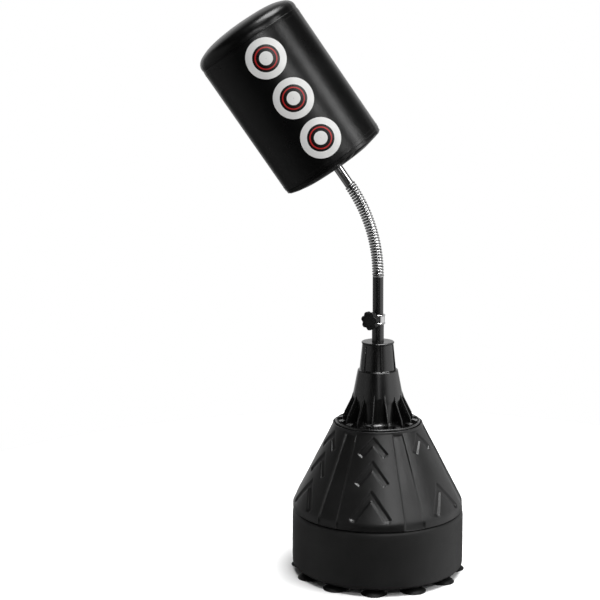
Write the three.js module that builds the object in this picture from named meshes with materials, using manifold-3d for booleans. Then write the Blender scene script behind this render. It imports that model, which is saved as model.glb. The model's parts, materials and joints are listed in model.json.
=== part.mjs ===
// Free-standing rebound bag: a padded strike bag on a sprung neck, a telescoping mast and a
// fillable cone base on suction cups. Millimetres, +Z up. The origin is the centre of the
// tank's flat underside. The bag is stored part way through a swing, leaning towards -X.
import * as THREE from "three";
import { mergeVertices } from "three/addons/utils/BufferGeometryUtils.js";
import Module from "manifold-3d";

const wasm = await Module();
wasm.setup();

// ---- driving dimensions ----
const GAP = 0.3; // left between neighbouring solids
const TURN = 2 * Math.PI;

// tank
const DRUM_RADIUS = 228.5;
const DRUM_TOP = 143; // where the drum's wall starts to round in
const FOOT_RADIUS = 150; // the flat middle of the underside
const FOOT_STEP = 2; // the ring that carries the cups stands this far above it
const SEAM_HEIGHT = 159;
const SHOULDER_HEIGHT = 177;
const RIM_RADIUS = 120;
const RIM_HEIGHT = 391;
const DECK_HEIGHT = 384;
const DECK_RADIUS = 114.5;
const CONE_FOOT_RADIUS = 227;
const TANK_WALL = 4.5;
const NECK_RADIUS = 53;
const NECK_TOP = 404;
const WELL_FLOOR = 345; // the mast's foot stands here
const CHEVRON_DEPTH = 3.2;
const CHEVRON_ARM = 15;
const PANEL_COUNT = 6;
const FIRST_PANEL = -8; // degrees from the front, -Y, towards +X
const CHEVRONS = [
  { apex: 376, width: 76, height: 50 },
  { apex: 321, width: 86, height: 64 },
  { apex: 252, width: 105, height: 79 },
];
const TANK_SIDES = 40;
const FILL_PANEL = 3; // the panel at the back, whose middle chevron makes way for the cap
const BLANK_PANEL = 1; // a panel with no middle chevron
const FLUTE_WIDTH = 14; // degrees
const FLUTE_DEPTH = 3;
const BEAD_WIDTH = 1.2; // degrees
const BEAD_HEIGHT = 1.6;

// suction cups
const CUP_COUNT = 12;
const CUP_RING_RADIUS = 199;
const CUP_PHASE = -5.6;
const CUP_RADIUS = 34;
const CUP_HEIGHT = 13;
const CUP_STEM_RADIUS = 6;
const CUP_STEM_LENGTH = 10;
const CUP_BOSS_WIDTH = 10; // half of the ring that the stems press into

// fill opening
const FILL_HEIGHT = 292;
const FILL_NECK_RADIUS = 24;
const FILL_BORE_RADIUS = 20;
const FILL_NECK_LENGTH = 12;
const FILL_BOSS_WIDTH = 12; // around the neck
const FILL_BOSS_DEPTH = 20;
const GASKET_THICKNESS = 2.4;
const CAP_RADIUS = 30;
const CAP_HEIGHT = 16;

// collar
const FLANGE_RADIUS = 113;
const FLANGE_THICKNESS = 8;
const BARREL_RADIUS = 63;
const SHOULDER_RADIUS = 66.5;
const COLLAR_SHOULDER = 462;
const LEDGE_RADIUS = 53.3;
const COLLAR_LEDGE = 532;
const LIP_RADIUS = 43.2;
const COLLAR_TOP = 608;
const COLLAR_WALL = 8;
const FIN_COUNT = 14;
const FIN_PHASE = 14;
const FIN_THICKNESS = 4;
const FIN_FOOT_RADIUS = 95;
const FIN_TIP = 476; // on the cone above the shoulder
const FOOT_BLOCK_SPAN = 11; // degrees
const FOOT_BLOCK_HEIGHT = 9;
const COLLAR_RIB_COUNT = 6;
const COLLAR_RIB_PHASE = 9;
const COLLAR_RIB_WIDTH = 2.2;

// mast
const FOOT_PLATE = 4;
const LOWER_TUBE_RADIUS = 15.8;
const TUBE_PASSAGE = 16.1 / Math.cos(Math.PI / 16); // its flats clear the tube
const LOWER_TUBE_BORE = 14.6;
const LOWER_TUBE_TOP = 670;
const UPPER_TUBE_RADIUS = 14.2;
const UPPER_TUBE_BORE = 12.6;
const UPPER_TUBE_FOOT = 470;
const UPPER_TUBE_TOP = 780;
const CLAMP_BOTTOM = 655;
const CLAMP_TOP = 681;
const CLAMP_RADIUS = 19.7;
const CLAMP_BOSS_RADIUS = 9.5;
const CLAMP_BOSS_END = 24; // from the mast's axis, as the knob's own lengths are
const KNOB_HEIGHT = 668;
const KNOB_ANGLE = -39; // degrees from the front
const KNOB_RADIUS = 25;
const KNOB_LOBES = 7;
const KNOB_HUB_RADIUS = 10.5;
const KNOB_HUB_START = 24.6;
const KNOB_BASE = 27;
const KNOB_DEPTH = 15;
const KNOB_FACE = 4; // over the stud's end
const STUD_RADIUS = 4;
const PAD_TIP = UPPER_TUBE_RADIUS + GAP;
const PAD_LENGTH = 2.4;

// sprung neck
const SPRING_FOOT = 783.6;
const SPRING_LENGTH = 252;
const SPRING_RADIUS = 15;
const WIRE_RADIUS = 3.5;
const COILS = 34;
const SPRING_ZONES = 8;
const ZONE = SPRING_LENGTH / SPRING_ZONES;
const SECTION_GAP = 1.5; // lets neighbouring sections lean together without touching
const LEAN = THREE.MathUtils.degToRad(34.4);
const ARC_RADIUS = SPRING_LENGTH / LEAN;
const SPIGOT_RADIUS = SPRING_RADIUS - 2 * WIRE_RADIUS - 0.8;
const SPIGOT_LENGTH = 13;
const PLUG_LENGTH = 30;

// rod and bag, along the bag's own axis from the end of the spring
const ROD_RADIUS = 12.5;
const ROD_BORE = 11;
const ROD_START = 3.3;
const ROD_END = 190;
const BAG_BOTTOM = 71;
const BAG_RADIUS = 143;
const BAG_LENGTH = 396;
const BAG_SIDES = 32;
const FOAM_RADIUS = BAG_RADIUS - 4.8; // clear of the piping, which stands in from the cover
const COVER = 2.4;
const TOP_CROWN = 32;
const BOTTOM_CROWN = 11;
const TOP_SEAM = 20; // below the bag's top edge
const BOTTOM_SEAM = 12; // above its bottom edge
const PIPING_RADIUS = 2;
const PIPING_GAP = PIPING_RADIUS + GAP; // from a seam's middle to the cover's edge
const FOAM_WALL = 46.7;
const FOAM_TOP_THICKNESS = 32;
const HUB_RADIUS = 126;
const HUB_SLEEVE_RADIUS = 20;
const HUB_SLEEVE_LENGTH = 86;
const HUB_PLATE = 8;
const HUB_BOLT_RADIUS = 4;
const HUB_BOLT_AT = BAG_BOTTOM + 60;
const HUB_BOLT_END = 30; // from the bag's axis
const HEX_ACROSS_FLATS = 13;

// ---- solids ----
function closedGeometry(geometry) {
  geometry.deleteAttribute("uv");
  geometry.deleteAttribute("normal");
  const merged = mergeVertices(geometry.index ? geometry.toNonIndexed() : geometry, 1e-4);
  const index = merged.index.array;
  const kept = [];
  for (let i = 0; i < index.length; i += 3) {
    const [a, b, c] = [index[i], index[i + 1], index[i + 2]];
    if (a !== b && b !== c && c !== a) kept.push(a, b, c);
  }
  if (signedVolume(merged.attributes.position.array, kept) < 0) kept.reverse();
  merged.setIndex(kept);
  return merged;
}

function signedVolume(at, index) {
  const [a, b, c] = [new THREE.Vector3(), new THREE.Vector3(), new THREE.Vector3()];
  let sum = 0;
  for (let i = 0; i < index.length; i += 3) {
    a.fromArray(at, 3 * index[i]);
    b.fromArray(at, 3 * index[i + 1]);
    c.fromArray(at, 3 * index[i + 2]);
    sum += a.dot(b.cross(c));
  }
  return sum / 6;
}

function solid(geometry) {
  const closed = closedGeometry(geometry);
  return new wasm.Manifold(
    new wasm.Mesh({
      numProp: 3,
      vertProperties: new Float32Array(closed.attributes.position.array),
      triVerts: new Uint32Array(closed.index.array),
    }),
  );
}

function geometryOf(manifold) {
  const mesh = manifold.getMesh();
  const geometry = new THREE.BufferGeometry();
  geometry.setAttribute("position", new THREE.BufferAttribute(mesh.vertProperties, 3));
  geometry.setIndex(Array.from(mesh.triVerts));
  return geometry;
}

// A body turned about Z from an outline of [radius, height] points.
function turned(outline, sides = 24) {
  const points = outline.map(([r, z]) => new THREE.Vector2(r, z));
  const [first, last] = [points[0], points[points.length - 1]];
  if (first.x > 0 || last.x > 0) points.push(first.clone());
  const geometry = new THREE.LatheGeometry(points, sides);
  geometry.rotateX(Math.PI / 2);
  return solid(geometry);
}

// A ring between two radii and two heights.
function ring(inner, outer, low, high, sides = 24) {
  return turned([[inner, low], [outer, low], [outer, high], [inner, high]], sides);
}

function disc(radius, low, high, sides = 24) {
  return turned([[0, low], [radius, low], [radius, high], [0, high]], sides);
}

// A prism along +Z, from z = 0, of a closed outline of [x, y] points.
function prism(outline, height) {
  const shape = new THREE.Shape(outline.map(([x, y]) => new THREE.Vector2(x, y)));
  return solid(new THREE.ExtrudeGeometry(shape, { depth: height, bevelEnabled: false }));
}

// Points on a rounded corner, from one angle to another in degrees.
function arc(centreR, centreZ, radius, from, to, steps) {
  return Array.from({ length: steps + 1 }, (_, i) => {
    const angle = THREE.MathUtils.degToRad(from + ((to - from) * i) / steps);
    return [centreR + radius * Math.cos(angle), centreZ + radius * Math.sin(angle)];
  });
}

function moved(manifold, matrix) {
  return manifold.transform(matrix.elements);
}

// The frame whose Z axis leaves the object's axis at this angle from the front, tilted up.
function outward(degrees, tilt, position) {
  const angle = THREE.MathUtils.degToRad(degrees);
  const out = new THREE.Vector3(Math.sin(angle), -Math.cos(angle), 0);
  const side = new THREE.Vector3(Math.cos(angle), Math.sin(angle), 0);
  const normal = out.clone().multiplyScalar(Math.cos(tilt));
  normal.z = Math.sin(tilt);
  const up = new THREE.Vector3().crossVectors(normal, side);
  return new THREE.Matrix4().makeBasis(side, up, normal).setPosition(position);
}

// A point at this radius, angle from the front in degrees, and height.
function around(radius, degrees, height) {
  const angle = THREE.MathUtils.degToRad(degrees);
  return new THREE.Vector3(radius * Math.sin(angle), -radius * Math.cos(angle), height);
}

// A wedge about Z, this many degrees wide, with its middle at this angle from the front.
function wedge(degrees, middle, reach, low, high) {
  const half = THREE.MathUtils.degToRad(degrees / 2);
  const outline = [[0, 0], [-reach * Math.sin(half), -reach], [reach * Math.sin(half), -reach]];
  const matrix = new THREE.Matrix4().makeRotationZ(THREE.MathUtils.degToRad(middle));
  return moved(prism(outline, high - low).translate([0, 0, low]), matrix);
}

// ---- tank ----
const CONE_TILT = Math.atan2(CONE_FOOT_RADIUS - RIM_RADIUS, RIM_HEIGHT - 5 - SHOULDER_HEIGHT);

function coneRadius(height) {
  return RIM_RADIUS + (RIM_HEIGHT - 5 - height) * Math.tan(CONE_TILT);
}

// The tank's outer form, with no detail.
function tankForm() {
  return turned(
    [
      [0, 0],
      [FOOT_RADIUS, 0],
      [FOOT_RADIUS + 2, FOOT_STEP],
      [DRUM_RADIUS - 8, FOOT_STEP],
      ...arc(DRUM_RADIUS - 8, FOOT_STEP + 8, 8, -60, 0, 2),
      [DRUM_RADIUS, DRUM_TOP],
      [DRUM_RADIUS - 1, DRUM_TOP + 7],
      [DRUM_RADIUS - 4, DRUM_TOP + 12],
      [DRUM_RADIUS - 7, SEAM_HEIGHT - 2],
      [CONE_FOOT_RADIUS, SEAM_HEIGHT],
      [CONE_FOOT_RADIUS, SHOULDER_HEIGHT - 10],
      [coneRadius(SHOULDER_HEIGHT + 10), SHOULDER_HEIGHT + 10],
      [RIM_RADIUS, RIM_HEIGHT - 5],
      [RIM_RADIUS - 1, RIM_HEIGHT],
      [RIM_RADIUS - 4, RIM_HEIGHT],
      [DECK_RADIUS, DECK_HEIGHT],
      [NECK_RADIUS, DECK_HEIGHT],
      [NECK_RADIUS, NECK_TOP],
      [0, NECK_TOP],
    ],
    TANK_SIDES,
  );
}

// The band between two offsets from the cone's skin, between two heights.
function skinBand(inner, outer, low, high) {
  const line = (offset) => [
    [CONE_FOOT_RADIUS + offset, low],
    [CONE_FOOT_RADIUS + offset, SHOULDER_HEIGHT - 10],
    [coneRadius(SHOULDER_HEIGHT + 10) + offset / Math.cos(CONE_TILT), SHOULDER_HEIGHT + 10],
    [coneRadius(high) + offset / Math.cos(CONE_TILT), high],
  ];
  return turned([...line(inner), ...line(outer).reverse()], TANK_SIDES);
}

function tankCavity() {
  const inset = TANK_WALL / Math.cos(CONE_TILT);
  const wellRadius = LOWER_TUBE_RADIUS + TANK_WALL;
  const floorOfWell = WELL_FLOOR - TANK_WALL;
  const ceiling = DECK_HEIGHT - TANK_WALL - 1;
  return turned(
    [
      [0, FOOT_STEP + TANK_WALL],
      [DRUM_RADIUS - TANK_WALL - 8, FOOT_STEP + TANK_WALL],
      [DRUM_RADIUS - TANK_WALL, FOOT_STEP + TANK_WALL + 8],
      [DRUM_RADIUS - TANK_WALL, DRUM_TOP],
      [DRUM_RADIUS - TANK_WALL - 7, SEAM_HEIGHT],
      [CONE_FOOT_RADIUS - inset - CHEVRON_DEPTH, SHOULDER_HEIGHT - 6],
      [coneRadius(ceiling) - inset - CHEVRON_DEPTH, ceiling],
      [wellRadius, ceiling],
      [wellRadius, floorOfWell],
      [0, floorOfWell],
    ],
    24,
  );
}

// One chevron's outline, apex up, in the plane that touches its panel.
function chevronOutline({ width, height }) {
  const half = width / 2;
  const reach = height - CHEVRON_ARM * 0.55;
  const length = Math.hypot(half, reach);
  const [ax, ay] = [(CHEVRON_ARM * reach) / length, (CHEVRON_ARM * half) / length];
  const drop = CHEVRON_ARM * (length / half);
  return [[0, 0], [half, -reach], [half - ax, -reach - ay], [0, -drop]].concat([
    [-half + ax, -reach - ay],
    [-half, -reach],
  ]);
}

function chevrons() {
  const cuts = [];
  for (let panel = 0; panel < PANEL_COUNT; panel++) {
    const angle = FIRST_PANEL + (360 / PANEL_COUNT) * panel;
    CHEVRONS.forEach((chevron, row) => {
      if (row === 1 && (panel === FILL_PANEL || panel === BLANK_PANEL)) return;
      const at = around(coneRadius(chevron.apex) - 30, angle, chevron.apex - 12);
      const frame = outward(angle, CONE_TILT, at);
      cuts.push(moved(prism(chevronOutline(chevron), 60), frame));
    });
  }
  return wasm.Manifold.union(cuts);
}

function flutes(width, offset = 0) {
  const all = [];
  for (let i = 0; i < PANEL_COUNT; i++) {
    const angle = FIRST_PANEL + (360 / PANEL_COUNT) * (i + 0.5) + offset;
    all.push(wedge(width, angle, 300, SEAM_HEIGHT - 1, RIM_HEIGHT - 6));
  }
  return wasm.Manifold.union(all);
}

const fillTop = around(coneRadius(FILL_HEIGHT), FIRST_PANEL + 180, FILL_HEIGHT);
const fillFrame = outward(FIRST_PANEL + 180, CONE_TILT, fillTop);

function tank() {
  const top = RIM_HEIGHT - 7;
  const chevronBand = skinBand(-CHEVRON_DEPTH, 8, SEAM_HEIGHT + 2, top);
  const fluteBand = skinBand(-FLUTE_DEPTH, 8, SEAM_HEIGHT - 0.5, top);
  const bead = skinBand(-1, BEAD_HEIGHT, SEAM_HEIGHT + 0.7, top - 1);
  let body = tankForm().subtract(chevronBand.intersect(chevrons()));
  body = body.subtract(fluteBand.intersect(flutes(FLUTE_WIDTH)));
  for (const side of [-1, 1]) {
    body = body.add(bead.intersect(flutes(BEAD_WIDTH, (side * (FLUTE_WIDTH + BEAD_WIDTH - 0.1)) / 2)));
  }
  const boss = ring(
    CUP_RING_RADIUS - CUP_BOSS_WIDTH,
    CUP_RING_RADIUS + CUP_BOSS_WIDTH,
    0,
    CUP_STEM_LENGTH + FOOT_STEP + TANK_WALL,
  );
  const cavity = tankCavity().subtract(boss);
  for (let i = 0; i < CUP_COUNT; i++) {
    const at = around(CUP_RING_RADIUS, CUP_PHASE + (360 / CUP_COUNT) * i, 0).toArray();
    const socket = disc(CUP_STEM_RADIUS + GAP, 0, CUP_STEM_LENGTH + FOOT_STEP + GAP, 12);
    body = body.subtract(socket.translate(at));
  }
  body = body.add(moved(disc(FILL_NECK_RADIUS + FILL_BOSS_WIDTH, -FILL_BOSS_DEPTH, 2), fillFrame));
  body = body.add(moved(disc(FILL_NECK_RADIUS, 0, FILL_NECK_LENGTH), fillFrame));
  body = body.subtract(cavity);
  body = body.subtract(moved(disc(FILL_BORE_RADIUS, -FILL_BOSS_DEPTH - 10, FILL_NECK_LENGTH + 1), fillFrame));
  return body.subtract(disc(LOWER_TUBE_RADIUS + GAP, WELL_FLOOR, NECK_TOP + 1));
}

function suctionCup() {
  return turned(
    [
      [0, FOOT_STEP + CUP_STEM_LENGTH],
      [CUP_STEM_RADIUS, FOOT_STEP + CUP_STEM_LENGTH],
      [CUP_STEM_RADIUS, FOOT_STEP - GAP],
      [15, FOOT_STEP - GAP],
      [26, -CUP_HEIGHT * 0.45],
      [CUP_RADIUS, -CUP_HEIGHT],
      [CUP_RADIUS - 4, -CUP_HEIGHT],
      [0, -CUP_HEIGHT * 0.45],
    ],
    12,
  );
}

function fillCap() {
  const base = 2 + GAP;
  const top = base + CAP_HEIGHT;
  const ceiling = FILL_NECK_LENGTH + GASKET_THICKNESS + 2 * GAP;
  let cap = turned(
    [
      [FILL_NECK_RADIUS + 0.6, base],
      [CAP_RADIUS, base],
      [CAP_RADIUS, top - 2],
      [CAP_RADIUS - 2, top],
      [0, top],
      [0, ceiling],
      [FILL_NECK_RADIUS + 0.6, ceiling],
    ],
    24,
  );
  const grip = new THREE.BoxGeometry(3, 4, CAP_HEIGHT - 3);
  grip.translate(0, CAP_RADIUS, base + CAP_HEIGHT / 2);
  const notch = solid(grip);
  for (let i = 0; i < 12; i++) cap = cap.subtract(notch.rotate([0, 0, 30 * i]));
  const bar = new THREE.BoxGeometry(2 * CAP_RADIUS - 18, 7, 8);
  bar.translate(0, 0, top + 3);
  return cap.add(solid(bar));
}

function capGasket() {
  const low = FILL_NECK_LENGTH + GAP;
  return ring(FILL_BORE_RADIUS, FILL_NECK_RADIUS, low, low + GASKET_THICKNESS);
}

// ---- collar and mast ----
function collarFin(angle) {
  const low = DECK_HEIGHT + FLANGE_THICKNESS;
  const root = BARREL_RADIUS - 10;
  const outline = [
    [root, low],
    [FIN_FOOT_RADIUS, low],
    [FIN_FOOT_RADIUS - 3, low + 20],
    [SHOULDER_RADIUS + 2, COLLAR_SHOULDER],
    [SHOULDER_RADIUS - 2.8, FIN_TIP],
    [root, FIN_TIP],
  ];
  const upright = new THREE.Matrix4()
    .makeRotationZ(THREE.MathUtils.degToRad(angle - 90))
    .multiply(new THREE.Matrix4().makeRotationX(Math.PI / 2));
  return moved(prism(outline, FIN_THICKNESS).translate([0, 0, -FIN_THICKNESS / 2]), upright);
}

function collarFootBlock(angle) {
  const low = DECK_HEIGHT + FLANGE_THICKNESS - 1;
  const high = DECK_HEIGHT + FLANGE_THICKNESS + FOOT_BLOCK_HEIGHT;
  const span = wedge(FOOT_BLOCK_SPAN, angle, DRUM_RADIUS, low, high);
  return span.intersect(ring(FLANGE_RADIUS - 21, FLANGE_RADIUS - 6, low, high));
}

function collarBody() {
  const base = DECK_HEIGHT + GAP;
  const top = base + FLANGE_THICKNESS;
  return turned(
    [
      [0, base],
      [FLANGE_RADIUS, base],
      [FLANGE_RADIUS, top + 1],
      [FLANGE_RADIUS - 3, top + 4],
      [FLANGE_RADIUS - 5, top],
      [BARREL_RADIUS + 8, top],
      [BARREL_RADIUS, top + 6],
      [BARREL_RADIUS, COLLAR_SHOULDER - 14],
      [SHOULDER_RADIUS, COLLAR_SHOULDER],
      [LEDGE_RADIUS, COLLAR_LEDGE],
      [LEDGE_RADIUS - 5.7, COLLAR_LEDGE + 1],
      [LIP_RADIUS - 2, COLLAR_TOP - 5],
      [LIP_RADIUS, COLLAR_TOP - 3],
      [LIP_RADIUS, COLLAR_TOP - 1],
      [LIP_RADIUS - 1.2, COLLAR_TOP],
      [0, COLLAR_TOP],
    ],
    32,
  );
}

function collarRib() {
  const height = COLLAR_TOP - COLLAR_LEDGE;
  const rib = new THREE.BoxGeometry(COLLAR_RIB_WIDTH, 12, height - 6);
  rib.rotateX(-Math.atan2(COLLAR_WALL, height));
  rib.translate(0, LIP_RADIUS - 3.1, COLLAR_LEDGE + height / 2 - 2);
  return solid(rib);
}

function collarHollow() {
  const high = COLLAR_TOP - 12;
  return turned(
    [
      [0, NECK_TOP],
      [BARREL_RADIUS - 2 * COLLAR_WALL, NECK_TOP],
      [SHOULDER_RADIUS - COLLAR_WALL - 2, COLLAR_SHOULDER - 2],
      [LIP_RADIUS - COLLAR_WALL, high],
      [0, high],
    ],
    16,
  );
}

function neckCollar() {
  let body = collarBody();
  for (let i = 0; i < FIN_COUNT; i++) {
    const angle = FIN_PHASE + (360 / FIN_COUNT) * i;
    body = body.add(collarFin(angle)).add(collarFootBlock(angle + 180 / FIN_COUNT));
  }
  for (let i = 0; i < COLLAR_RIB_COUNT; i++) {
    const angle = COLLAR_RIB_PHASE + (360 / COLLAR_RIB_COUNT) * i;
    body = body.add(collarRib().rotate([0, 0, angle]));
  }
  const skirt = disc(NECK_RADIUS + 1, DECK_HEIGHT - 1, NECK_TOP + FOOT_PLATE + 2 * GAP);
  const passage = disc(TUBE_PASSAGE, DECK_HEIGHT, COLLAR_TOP + 1, 16);
  return body.subtract(collarHollow()).subtract(skirt).subtract(passage);
}

function mastFootPlate() {
  const low = NECK_TOP + GAP;
  return ring(LOWER_TUBE_RADIUS + GAP, NECK_RADIUS - 3, low, low + FOOT_PLATE);
}

const knobFrame = outward(KNOB_ANGLE, 0, new THREE.Vector3(0, 0, KNOB_HEIGHT));

function studHole() {
  return moved(disc(STUD_RADIUS + GAP, 0, KNOB_BASE, 16), knobFrame);
}

function mastClamp() {
  let body = turned(
    [
      [LOWER_TUBE_RADIUS + GAP, CLAMP_BOTTOM],
      [CLAMP_RADIUS - 1, CLAMP_BOTTOM],
      [CLAMP_RADIUS, CLAMP_BOTTOM + 1],
      [CLAMP_RADIUS, CLAMP_TOP - 1],
      [CLAMP_RADIUS - 1, CLAMP_TOP],
      [UPPER_TUBE_RADIUS + GAP, CLAMP_TOP],
      [UPPER_TUBE_RADIUS + GAP, LOWER_TUBE_TOP + GAP],
      [LOWER_TUBE_RADIUS + GAP, LOWER_TUBE_TOP + GAP],
    ],
  );
  const boss = moved(disc(CLAMP_BOSS_RADIUS, UPPER_TUBE_RADIUS, CLAMP_BOSS_END, 24), knobFrame);
  body = body.add(boss.subtract(disc(LOWER_TUBE_RADIUS + GAP, CLAMP_BOTTOM, CLAMP_TOP)));
  return body.subtract(studHole());
}

function knobOutline() {
  const points = [];
  const steps = KNOB_LOBES * 8;
  for (let i = 0; i < steps; i++) {
    const angle = (TURN * i) / steps;
    const wave = Math.cos(KNOB_LOBES * angle);
    const radius = KNOB_RADIUS - 2 + 2 * Math.sign(wave) * Math.abs(wave) ** 0.7;
    points.push([radius * Math.cos(angle), radius * Math.sin(angle)]);
  }
  return points;
}

function clampKnob() {
  const head = prism(knobOutline(), KNOB_DEPTH).translate([0, 0, KNOB_BASE]);
  const hub = disc(KNOB_HUB_RADIUS, KNOB_HUB_START, KNOB_BASE + 1, 24);
  const hole = disc(STUD_RADIUS + GAP, 0, KNOB_BASE + KNOB_DEPTH - KNOB_FACE, 16);
  return head.add(hub).subtract(hole);
}

function clampStud() {
  const tip = PAD_TIP + PAD_LENGTH + GAP;
  return disc(STUD_RADIUS, tip, KNOB_BASE + KNOB_DEPTH - KNOB_FACE - GAP, 16);
}

function clampPad() {
  return disc(STUD_RADIUS - GAP, PAD_TIP, PAD_TIP + PAD_LENGTH, 16);
}

function lowerTube() {
  const tube = ring(LOWER_TUBE_BORE, LOWER_TUBE_RADIUS, WELL_FLOOR + GAP, LOWER_TUBE_TOP);
  return tube.subtract(studHole());
}

function upperTube() {
  return ring(UPPER_TUBE_BORE, UPPER_TUBE_RADIUS, UPPER_TUBE_FOOT, UPPER_TUBE_TOP);
}

function guideBush() {
  const foot = UPPER_TUBE_FOOT - 14;
  return turned(
    [
      [9, foot],
      [UPPER_TUBE_RADIUS + 0.1, foot],
      [UPPER_TUBE_RADIUS + 0.1, UPPER_TUBE_FOOT - GAP],
      [UPPER_TUBE_BORE - GAP, UPPER_TUBE_FOOT - GAP],
      [UPPER_TUBE_BORE - GAP, UPPER_TUBE_FOOT + 20],
      [9, UPPER_TUBE_FOOT + 20],
    ],
  );
}

// ---- sprung neck ----
// The frame at a distance along the neck's centreline: Z along it, Y to the back.
function neckFrame(along) {
  const angle = Math.min(along / ARC_RADIUS, LEAN);
  const past = Math.max(along - SPRING_LENGTH, 0);
  const x = -ARC_RADIUS * (1 - Math.cos(angle)) - past * Math.sin(angle);
  const z = SPRING_FOOT + ARC_RADIUS * Math.sin(angle) + past * Math.cos(angle);
  return new THREE.Matrix4().makeRotationY(-angle).setPosition(x, 0, z);
}

// A stack of coils centred on z = 0, scalloped outside as round wire is.
function springCoils(length) {
  const pitch = SPRING_LENGTH / COILS;
  const count = Math.max(1, Math.round(length / pitch));
  const step = length / count;
  const outline = [[SPRING_RADIUS - 2 * WIRE_RADIUS, -length / 2]];
  for (let i = 0; i < count; i++) {
    const foot = -length / 2 + i * step;
    outline.push([SPRING_RADIUS - WIRE_RADIUS * 0.7, foot]);
    outline.push([SPRING_RADIUS, foot + step * 0.3]);
    outline.push([SPRING_RADIUS, foot + step * 0.7]);
  }
  outline.push([SPRING_RADIUS - WIRE_RADIUS * 0.7, length / 2]);
  outline.push([SPRING_RADIUS - 2 * WIRE_RADIUS, length / 2]);
  return turned(outline, 12);
}

function lowerSpringPlug() {
  const flange = SPRING_FOOT - GAP;
  return turned(
    [
      [0, UPPER_TUBE_TOP - PLUG_LENGTH],
      [UPPER_TUBE_BORE - GAP, UPPER_TUBE_TOP - PLUG_LENGTH],
      [UPPER_TUBE_BORE - GAP, UPPER_TUBE_TOP + GAP],
      [UPPER_TUBE_RADIUS, UPPER_TUBE_TOP + GAP],
      [UPPER_TUBE_RADIUS, flange],
      [SPIGOT_RADIUS, flange],
      [SPIGOT_RADIUS, SPRING_FOOT + SPIGOT_LENGTH],
      [0, SPRING_FOOT + SPIGOT_LENGTH],
    ],
  );
}

// The upper plug, rod and bag are drawn on their own axis, from the end of the spring.
function upperSpringPlug() {
  return turned(
    [
      [0, -SPIGOT_LENGTH],
      [SPIGOT_RADIUS, -SPIGOT_LENGTH],
      [SPIGOT_RADIUS, GAP],
      [ROD_RADIUS, GAP],
      [ROD_RADIUS, ROD_START - GAP],
      [ROD_BORE - GAP, ROD_START - GAP],
      [ROD_BORE - GAP, ROD_START + PLUG_LENGTH],
      [0, ROD_START + PLUG_LENGTH],
    ],
  );
}

// ---- bag ----
function acrossAxis(manifold, along) {
  return manifold.rotate([90, 0, 0]).translate([0, 0, along]);
}

function boltHole() {
  const reach = HUB_BOLT_END + 10;
  return acrossAxis(disc(HUB_BOLT_RADIUS + GAP, -reach, reach, 12), HUB_BOLT_AT);
}

function chromeRod() {
  return ring(ROD_BORE, ROD_RADIUS, ROD_START, ROD_END).subtract(boltHole());
}

function bagHub() {
  const low = BAG_BOTTOM + 0.5;
  const bore = ROD_RADIUS + GAP;
  const body = turned(
    [
      [bore, low],
      [HUB_RADIUS, low],
      [HUB_RADIUS, low + HUB_PLATE],
      [HUB_SLEEVE_RADIUS + 10, low + HUB_PLATE],
      [HUB_SLEEVE_RADIUS + 2, low + HUB_PLATE + 6],
      [HUB_SLEEVE_RADIUS, low + HUB_SLEEVE_LENGTH],
      [bore, low + HUB_SLEEVE_LENGTH],
    ],
  );
  return body.subtract(boltHole());
}

function hexagon(acrossFlats) {
  const radius = acrossFlats / Math.sqrt(3);
  return Array.from({ length: 6 }, (_, i) => {
    const angle = (TURN * i) / 6;
    return [radius * Math.cos(angle), radius * Math.sin(angle)];
  });
}

function hubBolt() {
  const underHead = HUB_SLEEVE_RADIUS + 2.5;
  const shank = disc(HUB_BOLT_RADIUS, -HUB_BOLT_END, underHead + 1, 12);
  const head = prism(hexagon(HEX_ACROSS_FLATS), 5).translate([0, 0, underHead]);
  return acrossAxis(shank.add(head), HUB_BOLT_AT);
}

function hubNut() {
  const nut = prism(hexagon(HEX_ACROSS_FLATS), 6).translate([0, 0, 1.5 - HUB_BOLT_END]);
  return acrossAxis(nut, HUB_BOLT_AT).subtract(boltHole());
}

function foamWall() {
  const low = BAG_BOTTOM + HUB_PLATE + 1;
  const high = BAG_BOTTOM + BAG_LENGTH - FOAM_TOP_THICKNESS;
  return ring(FOAM_RADIUS - FOAM_WALL, FOAM_RADIUS, low, high, BAG_SIDES);
}

function foamTop() {
  const outer = FOAM_RADIUS;
  const low = BAG_BOTTOM + BAG_LENGTH - FOAM_TOP_THICKNESS + 1;
  return turned(
    [
      [0, low],
      [outer, low],
      [outer, low + 23],
      [outer - 6, low + 33],
      [outer - 16, low + 39],
      [104, low + 46],
      [60, low + 54],
      [0, low + 58],
    ],
    BAG_SIDES,
  );
}

function coverSide() {
  const low = BAG_BOTTOM + BOTTOM_SEAM + PIPING_GAP;
  const high = BAG_BOTTOM + BAG_LENGTH - TOP_SEAM - PIPING_GAP;
  return ring(BAG_RADIUS - COVER, BAG_RADIUS, low, high, BAG_SIDES);
}

function coverTop() {
  const low = BAG_BOTTOM + BAG_LENGTH - TOP_SEAM + PIPING_GAP;
  const edge = BAG_BOTTOM + BAG_LENGTH;
  const skin = (inset) => [
    [BAG_RADIUS - inset, low],
    ...arc(BAG_RADIUS - 18, edge - 6, 18 - inset, 0, 65, 3),
    [108, edge + TOP_CROWN * 0.66 - inset],
    [70, edge + TOP_CROWN * 0.86 - inset],
    [0, edge + TOP_CROWN - inset],
  ];
  return turned([...skin(0), ...skin(COVER).reverse()], BAG_SIDES);
}

function coverBottom() {
  const edge = BAG_BOTTOM;
  const high = edge + BOTTOM_SEAM - PIPING_GAP;
  const bore = ROD_RADIUS + 2;
  const skin = (inset) => [
    [BAG_RADIUS - inset, high],
    ...arc(BAG_RADIUS - 6, edge + 4, 6 - inset, 0, -70, 2),
    [80, edge - BOTTOM_CROWN * 0.75 + inset],
    [bore, edge - BOTTOM_CROWN + inset],
  ];
  return turned([...skin(0), ...skin(COVER).reverse()], BAG_SIDES);
}

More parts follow.
